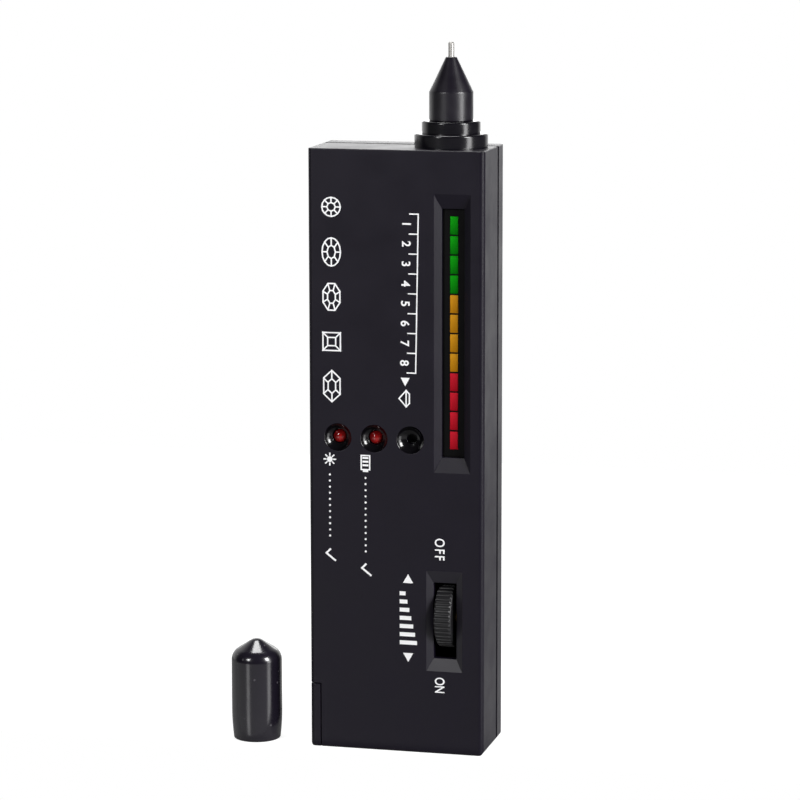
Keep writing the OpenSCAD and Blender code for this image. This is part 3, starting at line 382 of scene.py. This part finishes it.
def printedInk():
    material, tree = newMaterial("printedInk")
    place = addNode(tree, "ShaderNodeTexCoord").outputs["Object"]
    pores = addNode(tree, "ShaderNodeTexNoise", {"Scale": perMetre(inkFinish["pore"]), "Detail": 2},
                    {"Vector": place})
    tint = addNode(tree, "ShaderNodeMix",
                   {"data_type": "RGBA", 6: hexColour(inkFinish["thin"]), 7: hexColour(inkFinish["thick"])},
                   {0: pores.outputs["Fac"]})
    gloss = addNode(tree, "ShaderNodeMapRange",
                    {"To Min": inkFinish["rough"][0], "To Max": inkFinish["rough"][1]},
                    {"Value": pores.outputs["Fac"]})
    shader = addNode(tree, "ShaderNodeBsdfPrincipled", {"Specular IOR Level": inkFinish["level"]},
                     {"Base Color": tint.outputs[2], "Roughness": gloss.outputs["Result"]})
    addNode(tree, "ShaderNodeOutputMaterial", links={"Surface": shader.outputs[0]})
    return material


whiteInk = printedInk()
print("shared materials made")


# Case: two shells and the door, their outer edges eased as a mould leaves them

case = {"corner": 1.3, "edge": 0.3, "frameEdge": 0.12, "frameSharp": 14, "frontWall": 2.2, "near": 0.05}
lampHole = {"radius": 1.65, "reach": 3.4, "depth": 3.5, "wider": 0.25}     # opened a little for a wider lens

caseLow, caseHigh = [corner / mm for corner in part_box("front_shell")]
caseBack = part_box("rear_shell")[1].y / mm
seam = caseHigh.y
readyAxis = sum(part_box("ready_lamp"), Vector()) / 2 / mm
batteryAxis = sum(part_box("battery_lamp"), Vector()) / 2 / mm
soundAxis = 2 * batteryAxis - readyAxis


# Spreads the points in front of back round an axis along Y, most at start and less and less out to end
def widen(piece, axis, start, end, wider, back):
    for point in piece.data.vertices:
        out = Vector((point.co.x / mm - axis.x, 0, point.co.z / mm - axis.z))
        if point.co.y / mm < back and 0 < out.length < end:
            share = min((end - out.length) / (end - start), out.length / start)
            point.co += out.normalized() * wider * share * mm


def fromSides(point):     # distances from the nearest outer faces across, from front to back, and up
    return (min(abs(point.x - caseLow.x), abs(point.x - caseHigh.x)),
            min(abs(point.y - caseLow.y), abs(point.y - caseBack)),
            min(abs(point.z - caseLow.z), abs(point.z - caseHigh.z)))


def outerEdge(point):     # an edge at the top, the bottom or the seam
    across, deep, up = fromSides(point)
    inward = Vector((max(case["corner"] - across, 0), max(case["corner"] - deep, 0)))
    upright = abs(inward.length - case["corner"]) < case["near"]     # on an upright face or a rounded corner
    return upright and (up < case["near"] or abs(point.y - seam) < case["near"])


def frameEdge(point):     # of a recess in the front wall, clear of the case's own edges
    return point.y < caseLow.y + case["frontWall"] - case["near"] and not outerEdge(point)


def backEdge(point):     # of a screw's recess in the back
    return point.y > caseBack - case["near"] and not outerEdge(point)


frontShell = nodeCopy("front_shell", "frontShell")
for axis in (readyAxis, batteryAxis):
    widen(frontShell, axis, lampHole["radius"], lampHole["reach"], lampHole["wider"],
          caseLow.y + lampHole["depth"])
roundEdges(frontShell, case["frameEdge"], frameEdge, sharpness=case["frameSharp"])
rearShell = nodeCopy("rear_shell", "rearShell")
roundEdges(rearShell, case["frameEdge"], backEdge)
batteryDoor = nodeCopy("battery_door", "batteryDoor")
caseParts = (     # piece, node, body, materials
    (frontShell, "front_shell", "case", (satinAbs, dishAbs, brightAbs)),
    (rearShell, "rear_shell", "case", (brightAbs,)),
    (batteryDoor, "battery_door", "door", (satinAbs,)),
)
for piece, node, body, materials in caseParts:
    roundEdges(piece, case["edge"], outerEdge)
    smoothFaces(piece)
    dress(piece, *materials)
    standFor(piece, node, body)

# The front shell's other finishes: the dishes of the lamps and the sound hole, the wheel's frame and the top
dish = {"radius": 3.7, "depth": 2.4, "finish": 1}     # finish: the material's place in the list above
wheelFrame = {"across": 5.5, "up": 15, "depth": 1.4, "finish": 2}
wheelAxis = sum(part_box("thumbwheel"), Vector()) / 2 / mm
for face in frontShell.data.polygons:
    place = face.center / mm
    inward = place.y - caseLow.y
    inDish = any(sqrt((place.x - axis.x) ** 2 + (place.z - axis.z) ** 2) < dish["radius"]
                 for axis in (readyAxis, batteryAxis, soundAxis))
    if inDish and case["near"] < inward < dish["depth"]:
        face.material_index = dish["finish"]
    across, up = abs(place.x - wheelAxis.x), abs(place.z - wheelAxis.z)
    inFrame = across < wheelFrame["across"] and up < wheelFrame["up"]
    inFrame = inFrame and case["near"] < inward < wheelFrame["depth"]
    if inFrame or place.z > caseHigh.z - case["near"]:
        face.material_index = wheelFrame["finish"]
print("case made")


# Lamp bar: twelve flat lamps of diffused epoxy in a black holder

lampBar = {"edge": 0.1, "count": 12, "lastGreen": 4, "lastAmber": 8, "speck": 0.3, "speckle": 0.35,
           "fade": (0.1, 1.15), "rough": 0.5, "level": 0.04}

dress(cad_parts["led_holder"], mattNylon)
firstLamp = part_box("bar_led_1")
lampPitch = firstLamp[0].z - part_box("bar_led_2")[0].z


def lampEpoxy(name, deep, bright):     # cast epoxy with diffuser: even colour, paler towards its top
    material, tree = newMaterial(name)
    place = addNode(tree, "ShaderNodeTexCoord").outputs["Object"]
    height = addNode(tree, "ShaderNodeSeparateXYZ", links={0: place}).outputs["Z"]
    steps = addNode(tree, "ShaderNodeMath",
                    {"operation": "MULTIPLY_ADD", 1: 1 / lampPitch,
                     2: -firstLamp[0].z / lampPitch + lampBar["count"]}, {0: height})
    rise = addNode(tree, "ShaderNodeMath", {"operation": "FRACT"}, {0: steps.outputs[0]})
    specks = addNode(tree, "ShaderNodeTexNoise", {"Scale": perMetre(lampBar["speck"]), "Detail": 2},
                     {"Vector": place})
    share = addNode(tree, "ShaderNodeMath", {"operation": "MULTIPLY_ADD", 1: lampBar["speckle"]},
                    {0: specks.outputs["Fac"], 2: rise.outputs[0]})
    fade = addNode(tree, "ShaderNodeMapRange",
                   {"From Min": lampBar["fade"][0], "From Max": lampBar["fade"][1]},
                   {"Value": share.outputs[0]})
    tint = addNode(tree, "ShaderNodeMix", {"data_type": "RGBA", 6: hexColour(deep), 7: hexColour(bright)},
                   {0: fade.outputs["Result"]})
    shader = addNode(tree, "ShaderNodeBsdfPrincipled",
                     {"Roughness": lampBar["rough"], "Specular IOR Level": lampBar["level"]},
                     {"Base Color": tint.outputs[2]})
    addNode(tree, "ShaderNodeOutputMaterial", links={"Surface": shader.outputs[0]})
    return material


greenEpoxy = lampEpoxy("greenEpoxy", "#006a04", "#12a614")
amberEpoxy = lampEpoxy("amberEpoxy", "#b07206", "#dc9a20")
redEpoxy = lampEpoxy("redEpoxy", "#a20a1c", "#d82234")

flatLamp = nodeCopy("bar_led_1", "barLamp1")
roundEdges(flatLamp, lampBar["edge"])
smoothFaces(flatLamp)
for number in range(1, lampBar["count"] + 1):
    lamp = flatLamp
    if number > 1:
        lamp = bpy.data.objects.new(f"barLamp{number}", flatLamp.data.copy())
        bpy.context.scene.collection.objects.link(lamp)
        lamp.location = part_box(f"bar_led_{number}")[0] - firstLamp[0]
        selectOnly(lamp)
        bpy.ops.object.transform_apply(location=True, rotation=False, scale=False)
    colour = "red"
    if number <= lampBar["lastAmber"]:
        colour = "green" if number <= lampBar["lastGreen"] else "amber"
    dress(lamp, {"green": greenEpoxy, "amber": amberEpoxy, "red": redEpoxy}[colour])
    standFor(lamp, f"bar_led_{number}", "case")
print("lamp bar made")


# Wheel, collar, nose, pin and screws: CAD shapes with eased edges

easedNodes = {     # node: piece, radius of its edges, body, slot, material
    "thumbwheel": ("ribbedWheel", 0.08, "wheel", "wheel_plastic", wornAbs),
    "probe_collar": ("probeCollar", 0.32, "case", "collar_gloss", glossAcetal),
    "probe_nose": ("probeNose", 0.15, "case", "nose_satin", satinAcetal),
    "probe_tip": ("probePin", 0.06, "pin", "pin_metal", platedCopper),
    "case_screws": ("caseScrews", 0.06, "case", "screw_steel", zincSteel),
}
for node, (name, radius, body, slot, material) in easedNodes.items():
    piece = nodeCopy(node, name)
    roundEdges(piece, radius)
    smoothFaces(piece, flat=node != "thumbwheel")
    dress(piece, material)
    standFor(piece, node, body)
print("eased pieces made")


# Probe spring: drawn wire

spring = {"press": 1.5, "smooth": 70}     # mm and degrees

probeSpring = nodeCopy("probe_spring", "probeSpring")
smoothFaces(probeSpring, spring["smooth"], flat=False)
dress(probeSpring, springWire)
standFor(probeSpring, "probe_spring", "case")
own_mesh(probeSpring)
print("probe spring made")


# Tip cap: dipped vinyl, drawn to a soft point, its rim curled in

cap = {"bore": 5.7, "side": 20.9, "shoulder": 3.6, "slope": 33, "end": 3, "wall": 0.9, "curl": 0.5,
       "curlUp": 8, "lip": 0.4, "lower": 1, "steps": 128, "smooth": 50}     # the inner shoulder is lower
capSteps = {"curl": 12, "rim": 6, "shoulder": 16, "end": 12, "roof": 6, "turn": 8}
vinylSkin = {"colour": "#15121b", "pinhole": "#4a484d", "ripple": 5, "pitch": 3.5, "hole": (0.05, 0.1),
             "rough": (0.14, 0.24), "relief": 0.25, "depth": 0.08, "ior": 1.53}


def vinyl():     # plasticised PVC, dip-moulded: wet gloss over a slightly uneven skin with a few pinholes
    material, tree = newMaterial("dippedVinyl")
    place = addNode(tree, "ShaderNodeTexCoord").outputs["Object"]
    ripples = addNode(tree, "ShaderNodeTexNoise", {"Scale": perMetre(vinylSkin["ripple"]), "Detail": 2},
                      {"Vector": place})
    pits = addNode(tree, "ShaderNodeTexVoronoi", {"Scale": perMetre(vinylSkin["pitch"])}, {"Vector": place})
    speck = addNode(tree, "ShaderNodeMapRange",
                    {"From Min": vinylSkin["hole"][0], "From Max": vinylSkin["hole"][1],
                     "To Min": 1.0, "To Max": 0.0}, {"Value": pits.outputs["Distance"]})
    tint = addNode(tree, "ShaderNodeMix",
                   {"data_type": "RGBA", 6: hexColour(vinylSkin["colour"]),
                    7: hexColour(vinylSkin["pinhole"])}, {0: speck.outputs["Result"]})
    gloss = addNode(tree, "ShaderNodeMapRange",
                    {"To Min": vinylSkin["rough"][0], "To Max": vinylSkin["rough"][1]},
                    {"Value": ripples.outputs["Fac"]})
    relief = addNode(tree, "ShaderNodeBump",
                     {"Strength": vinylSkin["relief"], "Distance": vinylSkin["depth"] * mm},
                     {"Height": ripples.outputs["Fac"]})
    shader = addNode(tree, "ShaderNodeBsdfPrincipled", {"IOR": vinylSkin["ior"]},
                     {"Base Color": tint.outputs[2], "Roughness": gloss.outputs["Result"],
                      "Normal": relief.outputs["Normal"]})
    addNode(tree, "ShaderNodeOutputMaterial", links={"Surface": shader.outputs[0]})
    return material


def arc(centre, radius, start, end, count):     # from one angle to another in count steps
    turns = [radians(start + (end - start) * i / count) for i in range(count + 1)]
    return [(centre[0] + radius * cos(turn), centre[1] + radius * sin(turn)) for turn in turns]


def capOutline(radius, height):     # radius and height, from inside the tip round the rim to outside the tip
    knee = 90 - cap["slope"]
    curlRadius = (cap["curl"] ** 2 + cap["curlUp"] ** 2) / (2 * cap["curl"])
    curlTurn = degrees(asin((cap["curlUp"] - cap["lip"]) / curlRadius))
    curl = arc((radius - curlRadius, cap["curlUp"]), curlRadius, -curlTurn, 0, capSteps["curl"])
    rim = arc((curl[0][0] - cap["lip"], cap["lip"]), cap["lip"], -90, 0, capSteps["rim"])
    bend = radius - cap["shoulder"]     # where the shoulder's arcs have their centres
    shoulder = arc((bend, cap["side"]), cap["shoulder"], 0, knee, capSteps["shoulder"])
    end = arc((0, height - cap["end"]), cap["end"], knee, 90, capSteps["end"])
    roof = arc((0, height - cap["end"]), cap["end"] - cap["wall"], 90, knee, capSteps["roof"])
    turn = arc((bend, cap["side"] - cap["lower"]), cap["bore"] - bend, knee, 0, capSteps["turn"])
    return roof + turn + [(cap["bore"], cap["lip"] / 2)] + rim + curl[1:] + shoulder + end


capLow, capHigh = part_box("tip_cap")
capAxis = (capLow + capHigh) / 2
capSize = (capHigh - capLow) / mm
bpy.ops.object.select_all(action="DESELECT")
bpy.ops.mesh.primitive_plane_add(size=mm)
tipCap = bpy.context.object
tipCap.name = "tipCap"
outline = [Vector((capAxis.x + r * mm, capAxis.y, h * mm)) for r, h in capOutline(capSize.x / 2, capSize.z)]
editAll(tipCap)
bpy.ops.mesh.merge(type="CENTER")
bpy.ops.transform.translate(value=outline[0])
for start, end in zip(outline, outline[1:]):
    bpy.ops.mesh.extrude_vertices_move(TRANSFORM_OT_translate={"value": end - start})
bpy.ops.mesh.select_all(action="SELECT")
bpy.ops.mesh.spin(steps=cap["steps"], angle=2 * pi, center=(capAxis.x, capAxis.y, 0), axis=(0, 0, 1))
bpy.ops.mesh.select_all(action="SELECT")
bpy.ops.mesh.remove_doubles(threshold=weld["distance"] * mm)
bpy.ops.mesh.normals_make_consistent(inside=False)
leaveEdit()
smoothFaces(tipCap, cap["smooth"], flat=False)
dress(tipCap, vinyl())
standFor(tipCap, "tip_cap", "cap")
print("tip cap made")


# Signal lamps: clear red epoxy, a little wider than the solids

signalLamp = {"radius": 1.5, "reach": 20, "depth": 5, "wider": 0.25}
# The pale red, and the side and share that place it, are painted light: the glow the dome gathers at its
# lower right
lensTint = {"deep": "#5a0508", "lit": "#d8201f", "paintedLightSide": (0.7, 0, -0.7), "paintedLightShare": 0.8, "swirl": 0.8,
            "swirlShare": 0.3, "ior": 1.53, "rough": 0.08, "clear": 0.2}


def lensEpoxy(name, centre):     # tinted epoxy: dark red, with painted light: paler at the lower right, where the dome gathers the light
    material, tree = newMaterial(name)
    place = addNode(tree, "ShaderNodeTexCoord").outputs["Object"]
    offset = addNode(tree, "ShaderNodeVectorMath", {"operation": "SUBTRACT", 1: centre}, {0: place})
    aside = addNode(tree, "ShaderNodeVectorMath", {"operation": "DOT_PRODUCT", 1: lensTint["paintedLightSide"]},
                    {0: offset.outputs["Vector"]})
    swirl = addNode(tree, "ShaderNodeTexNoise", {"Scale": perMetre(lensTint["swirl"]), "Detail": 2},
                    {"Vector": place})
    reach = signalLamp["radius"] * mm
    # painted light: the red grows paler towards the lower right
    share = addNode(tree, "ShaderNodeMapRange",
                    {"From Min": -reach / 2, "From Max": reach, "To Max": lensTint["paintedLightShare"]},
                    {"Value": aside.outputs["Value"]})
    uneven = addNode(tree, "ShaderNodeMath", {"operation": "MULTIPLY_ADD", 1: lensTint["swirlShare"]},
                     {0: swirl.outputs["Fac"], 2: share.outputs["Result"]})
    tint = addNode(tree, "ShaderNodeMix",
                   {"data_type": "RGBA", 6: hexColour(lensTint["deep"]), 7: hexColour(lensTint["lit"])},
                   {0: uneven.outputs[0]})
    shader = addNode(tree, "ShaderNodeBsdfPrincipled",
                     {"IOR": lensTint["ior"], "Roughness": lensTint["rough"],
                      "Transmission Weight": lensTint["clear"]}, {"Base Color": tint.outputs[2]})
    addNode(tree, "ShaderNodeOutputMaterial", links={"Surface": shader.outputs[0]})
    return material


for node, name, axis in (("ready_lamp", "readyLens", readyAxis),
                         ("battery_lamp", "batteryLens", batteryAxis)):
    lens = nodeCopy(node, name)
    widen(lens, axis, signalLamp["radius"], signalLamp["reach"], signalLamp["wider"],
          caseLow.y + signalLamp["depth"])
    smoothFaces(lens, flat=False)
    dress(lens, lensEpoxy(f"{name}Epoxy", axis * mm))
    standFor(lens, node, "case")
print("signal lamps made")


# Print: scale, digits, switch words and pictograms in white ink on the front face

ink = {"proud": 0.03, "sunk": 0.02, "layers": 12, "layer": 0.002}
readingDown = Matrix(((0, 1, 0), (0, 0, -1), (-1, 0, 0))).to_4x4()     # reads downwards, tops to the right
inkParts = []


def settle(part, x, z, lean=0):     # thickens a flat print and lays it on the face
    proud = ink["proud"] + len(inkParts) % ink["layers"] * ink["layer"]     # crossing parts differ by a hair
    editAll(part)
    bpy.ops.mesh.extrude_region_move(TRANSFORM_OT_translate={"value": (0, 0, -(proud + ink["sunk"]) * mm)})
    bpy.ops.mesh.select_all(action="SELECT")
    bpy.ops.mesh.normals_make_consistent(inside=False)
    leaveEdit()
    onFace = Matrix.Translation(Vector((x, caseLow.y - proud, z)) * mm) @ readingDown
    part.matrix_world = onFace @ Matrix.Rotation(radians(lean), 4, "Z")
    selectOnly(part)
    bpy.ops.object.transform_apply(location=True, rotation=True, scale=True)
    inkParts.append(part)


def word(letters, size, x, z, bold, narrow=1, spacing=1):     # bold as a share of the size
    bpy.ops.object.select_all(action="DESELECT")
    bpy.ops.object.text_add()
    part = bpy.context.object
    part.data.body = letters
    part.data.size = size * mm
    part.data.offset = bold * mm * size
    part.data.space_character = spacing
    part.data.align_x = "CENTER"
    part.data.align_y = "CENTER"
    bpy.ops.object.convert(target="MESH")
    editAll(part)
    bpy.ops.mesh.remove_doubles(threshold=weld["distance"] * mm)
    bpy.ops.transform.resize(value=(narrow, 1, 1))
    leaveEdit()
    settle(part, x, z)


def stroke(x1, z1, x2, z2, width):     # a bar from one point of the face to another
    along = Vector((z1 - z2, x2 - x1))     # in the print's own axes: downwards and to the right
    bpy.ops.object.select_all(action="DESELECT")
    bpy.ops.mesh.primitive_plane_add(size=mm)
    part = bpy.context.object
    editAll(part)
    bpy.ops.transform.resize(value=(along.length + width, width, 1))
    leaveEdit()
    turn = along.angle_signed(Vector((1, 0)), 0)
    settle(part, (x1 + x2) / 2, (z1 + z2) / 2, degrees(turn))


def polygon(sides, width, height, x, z, phase=0, line=0):     # first corner down; filled, or a line round it
    bpy.ops.object.select_all(action="DESELECT")
    bpy.ops.mesh.primitive_circle_add(vertices=sides, radius=0.5 * mm, fill_type="NGON",
                                      rotation=(0, 0, radians(phase - 90)))
    part = bpy.context.object
    bpy.ops.object.transform_apply(location=False, rotation=True, scale=False)
    editAll(part)
    bpy.ops.transform.resize(value=(width, height, 1))
    if line:
        bpy.ops.mesh.inset(thickness=line * mm, use_even_offset=True)
        bpy.ops.mesh.delete(type="FACE")
    leaveEdit()
    settle(part, x, z)


def printPiece(name):     # joins the parts drawn since the last piece
    bpy.ops.object.select_all(action="DESELECT")
    for part in inkParts:
        part.select_set(True)
    bpy.context.view_layer.objects.active = inkParts[0]
    bpy.ops.object.join()
    piece = bpy.context.object
    bpy.ops.object.shade_flat()
    piece.name = name
    dress(piece, whiteInk)
    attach(piece, "case")
    inkParts.clear()


# Scale: a bracket with its marks, and a digit in each step
scale = {"top": 139.9, "pitch": 5.07, "marks": 8, "lineX": 5.95, "drift": -0.7, "tick": 2.2, "line": 0.32,
         "digitX": 2.8, "digitSize": 3.1, "digitBold": 0.02}


def scaleX(z):     # the bracket leans a little
    return scale["lineX"] + scale["drift"] * (scale["top"] - z) / (scale["pitch"] * scale["marks"])


bottom = scale["top"] - scale["pitch"] * scale["marks"]
stroke(scaleX(scale["top"]), scale["top"], scaleX(bottom), bottom, scale["line"])
for mark in range(scale["marks"] + 1):
    z = scale["top"] - mark * scale["pitch"]
    stroke(scaleX(z), z, scaleX(z) - scale["tick"], z, scale["line"])
    if mark < scale["marks"]:
        digitX = scale["digitX"] + scaleX(z) - scale["lineX"]
        word(str(mark + 1), scale["digitSize"], digitX, z - scale["pitch"] / 2, scale["digitBold"])
printPiece("printedScale")

# Words of the switch, above and below the wheel
switch = {"size": 3.6, "x": 11.4, "offZ": 54, "onZ": 18.25, "bold": 0.012, "offNarrow": 0.8, "onNarrow": 0.74,
          "offSpacing": 1.25}
word("OFF", switch["size"], switch["x"], switch["offZ"], switch["bold"], switch["offNarrow"],
     switch["offSpacing"])
printPiece("printedOff")
word("ON", switch["size"], switch["x"], switch["onZ"], switch["bold"], switch["onNarrow"])
printPiece("printedOn")

# Arrow and gem at the end of the scale
gem = {"x": 2.3, "z": 92.7, "arrowX": 2.5, "arrowZ": 97.1, "arrowLong": 2.9, "arrowWide": 2.7, "line": 0.35}
gemCorners = ((-1.2, 1.3), (1.2, 1.3), (2.1, 0.45), (0, -1.4), (-2.1, 0.45))     # along the reading and up
polygon(3, gem["arrowLong"], gem["arrowWide"], gem["arrowX"], gem["arrowZ"])
gemEdges = list(zip(gemCorners, gemCorners[1:] + gemCorners[:1])) + [(gemCorners[4], gemCorners[2])]
for (a1, b1), (a2, b2) in gemEdges:
    stroke(gem["x"] + b1, gem["z"] - a1, gem["x"] + b2, gem["z"] - a2, gem["line"])
printPiece("printedGem")

# Volume: growing bars between two arrows
volume = {"x": 3.2, "upZ": 45.8, "downZ": 25.3, "firstZ": 42, "pitch": 2.15, "bars": 7, "line": 1.05,
          "footX": 1.5, "least": 0.5, "growth": 0.5, "arrow": 3.1}
polygon(3, volume["arrow"], volume["arrow"], volume["x"], volume["upZ"], phase=180)
for bar in range(volume["bars"]):
    z = volume["firstZ"] - bar * volume["pitch"]
    top = volume["footX"] + volume["least"] + bar * volume["growth"]
    stroke(volume["footX"], z, top, z, volume["line"])
polygon(3, volume["arrow"], volume["arrow"], volume["x"], volume["downZ"])
printPiece("printedVolume")

# Row of gem cuts seen from above: outline, table and the edges between them
gemRow = {"x": -16.8, "top": 141.2, "pitch": 11.5, "line": 0.36, "table": 0.5, "mostCorners": 8}
gemCuts = (     # sides, width along the reading, height across it, turn of the first corner
    (16, 5.2, 5.2, 0), (16, 7.6, 5.2, 0), (8, 7.8, 5.2, 22.5), (4, 7.0, 7.0, 45), (6, 8.6, 5.4, 0),
)
for number, (sides, width, height, phase) in enumerate(gemCuts):
    z = gemRow["top"] - number * gemRow["pitch"]
    corners = min(sides, gemRow["mostCorners"])
    for count, share in ((sides, 1), (corners, gemRow["table"])):
        polygon(count, width * share, height * share, gemRow["x"], z, phase, gemRow["line"])
    for corner in range(corners):
        turn = radians(phase + corner * 360 / corners)
        along, up = cos(turn) * width / 2, sin(turn) * height / 2
        inner, outer = gemRow["table"], 1 - gemRow["line"] / min(width, height)
        stroke(gemRow["x"] + up * inner, z - along * inner, gemRow["x"] + up * outer, z - along * outer,
               gemRow["line"])
printPiece("printedGemRow")

# Signs of the two lamps: a lamp and a battery, each with a dotted leader to a tick
leaderLine = {"dot": 0.55, "sides": 12, "pitch": 1.6, "start": 4, "tick": ((0, 1.4), (-1, 0.4), (1.3, -1.4)),
              "tickLine": 0.49}


def leader(x, top, end):
    count = int((top - end - 2 * leaderLine["start"]) / leaderLine["pitch"])
    for number in range(count + 1):
        z = top - leaderLine["start"] - number * leaderLine["pitch"]
        polygon(leaderLine["sides"], leaderLine["dot"], leaderLine["dot"], x, z)
    for (x1, z1), (x2, z2) in zip(leaderLine["tick"], leaderLine["tick"][1:]):
        stroke(x + x1, end + z1, x + x2, end + z2, leaderLine["tickLine"])


lampSign = {"x": -17.45, "top": 76.2, "end": 51.2, "bulb": 1.5, "sides": 20, "rays": 8, "rayIn": 1.05,
            "rayOut": 1.5, "line": 0.35}
polygon(lampSign["sides"], lampSign["bulb"], lampSign["bulb"], lampSign["x"], lampSign["top"])
for number in range(lampSign["rays"]):
    turn = 2 * pi * number / lampSign["rays"]
    inner, outer = lampSign["rayIn"], lampSign["rayOut"]
    stroke(lampSign["x"] + inner * sin(turn), lampSign["top"] + inner * cos(turn),
           lampSign["x"] + outer * sin(turn), lampSign["top"] + outer * cos(turn), lampSign["line"])
leader(lampSign["x"], lampSign["top"], lampSign["end"])
printPiece("printedLampSign")

batterySign = {"x": -8.0, "top": 75.7, "end": 47.7, "long": 4.0, "wide": 2.6, "line": 0.35,
               "poleZ": -2.2, "poleHalf": 0.45, "bars": 3, "barZ": 1.2, "barPitch": 0.95, "barHalf": 0.55,
               "bold": 0.5}
polygon(4, batterySign["long"] * sqrt(2), batterySign["wide"] * sqrt(2), batterySign["x"], batterySign["top"],
        phase=45, line=batterySign["line"])
rows = [(batterySign["poleZ"], batterySign["poleHalf"])]     # the pole, then the bars
for bar in range(batterySign["bars"]):
    rows.append((batterySign["barZ"] - bar * batterySign["barPitch"], batterySign["barHalf"]))
for row, half in rows:
    z = batterySign["top"] + row
    stroke(batterySign["x"] - half, z, batterySign["x"] + half, z, batterySign["bold"])
leader(batterySign["x"], batterySign["top"], batterySign["end"])
printPiece("printedBatterySign")
print("print made")


# Inner pieces and small parts: CAD shapes with their own finishes

boardFinish = {"low": "#0e4527", "high": "#11502e", "track": "#1f7a48", "pitch": 10, "trackLine": 0.03,
               "weave": 0.6, "rough": (0.2, 0.4), "relief": 0.2, "depth": 0.03, "coat": 0.3}
jacketFinish = {"slate": "#2c3948", "bare": "#a9adb2", "bandDown": 9, "bandHalf": 3, "scuff": 2.5,
                "rough": (0.25, 0.45), "metallic": 0.6}


def solderMask():     # glass-epoxy board under green lacquer: tracks show as paler lines
    material, tree = newMaterial("solderMask")
    place = addNode(tree, "ShaderNodeTexCoord").outputs["Object"]
    turned = addNode(tree, "ShaderNodeMapping", {"Rotation": (radians(90), 0, 0)}, {"Vector": place})
    tracks = addNode(tree, "ShaderNodeTexBrick",
                     {"Scale": perMetre(boardFinish["pitch"]), "Mortar Size": boardFinish["trackLine"],
                      "Color1": hexColour(boardFinish["low"]), "Color2": hexColour(boardFinish["high"]),
                      "Mortar": hexColour(boardFinish["track"])}, {"Vector": turned.outputs["Vector"]})
    weave = addNode(tree, "ShaderNodeTexNoise", {"Scale": perMetre(boardFinish["weave"])}, {"Vector": place})
    relief = addNode(tree, "ShaderNodeBump",
                     {"Strength": boardFinish["relief"], "Distance": boardFinish["depth"] * mm},
                     {"Height": tracks.outputs["Fac"]})
    gloss = addNode(tree, "ShaderNodeMapRange",
                    {"To Min": boardFinish["rough"][0], "To Max": boardFinish["rough"][1]},
                    {"Value": weave.outputs["Fac"]})
    shader = addNode(tree, "ShaderNodeBsdfPrincipled", {"Coat Weight": boardFinish["coat"]},
                     {"Base Color": tracks.outputs["Color"], "Roughness": gloss.outputs["Result"],
                      "Normal": relief.outputs["Normal"]})
    addNode(tree, "ShaderNodeOutputMaterial", links={"Surface": shader.outputs[0]})
    return material


def batteryJacket():     # lacquered tinplate: slate blue with one bare band below the top
    material, tree = newMaterial("batteryJacket")
    place = addNode(tree, "ShaderNodeTexCoord").outputs["Object"]
    height = addNode(tree, "ShaderNodeSeparateXYZ", links={0: place}).outputs["Z"]
    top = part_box("battery")[1].z
    band = addNode(tree, "ShaderNodeMath",
                   {"operation": "COMPARE", 1: top - jacketFinish["bandDown"] * mm,
                    2: jacketFinish["bandHalf"] * mm}, {0: height})
    scuffs = addNode(tree, "ShaderNodeTexNoise", {"Scale": perMetre(jacketFinish["scuff"]), "Detail": 5},
                     {"Vector": place})
    tint = addNode(tree, "ShaderNodeMix",
                   {"data_type": "RGBA", 6: hexColour(jacketFinish["slate"]),
                    7: hexColour(jacketFinish["bare"])}, {0: band.outputs[0]})
    gloss = addNode(tree, "ShaderNodeMapRange",
                    {"To Min": jacketFinish["rough"][0], "To Max": jacketFinish["rough"][1]},
                    {"Value": scuffs.outputs["Fac"]})
    shader = addNode(tree, "ShaderNodeBsdfPrincipled", {"Metallic": jacketFinish["metallic"]},
                     {"Base Color": tint.outputs[2], "Roughness": gloss.outputs["Result"]})
    addNode(tree, "ShaderNodeOutputMaterial", links={"Surface": shader.outputs[0]})
    return material


innerFinish = {
    "circuit_board": solderMask(), "battery": batteryJacket(), "volume_control": brownPhenolic,
    "board_screws": zincSteel, "wheel_screw": zincSteel, "wheel_spindle": turnedBrass,
    "buzzer": chipEpoxy, "amplifier_chip": chipEpoxy, "battery_snap": chipEpoxy,
    "display_driver_a": chipEpoxy, "display_driver_b": chipEpoxy,
    "capacitor_a": sleevePvc, "capacitor_b": sleevePvc, "battery_terminals": nickelPlate,
    "battery_lead_red": redPvc, "battery_lead_black": blackPvc, "probe_lead_a": whitePvc,
    "probe_lead_b": redPvc, "probe_heater": bakedCopper, "probe_plug": milkNylon,
}
for node, material in innerFinish.items():
    dress(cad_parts[node], material)
print("inner pieces finished")
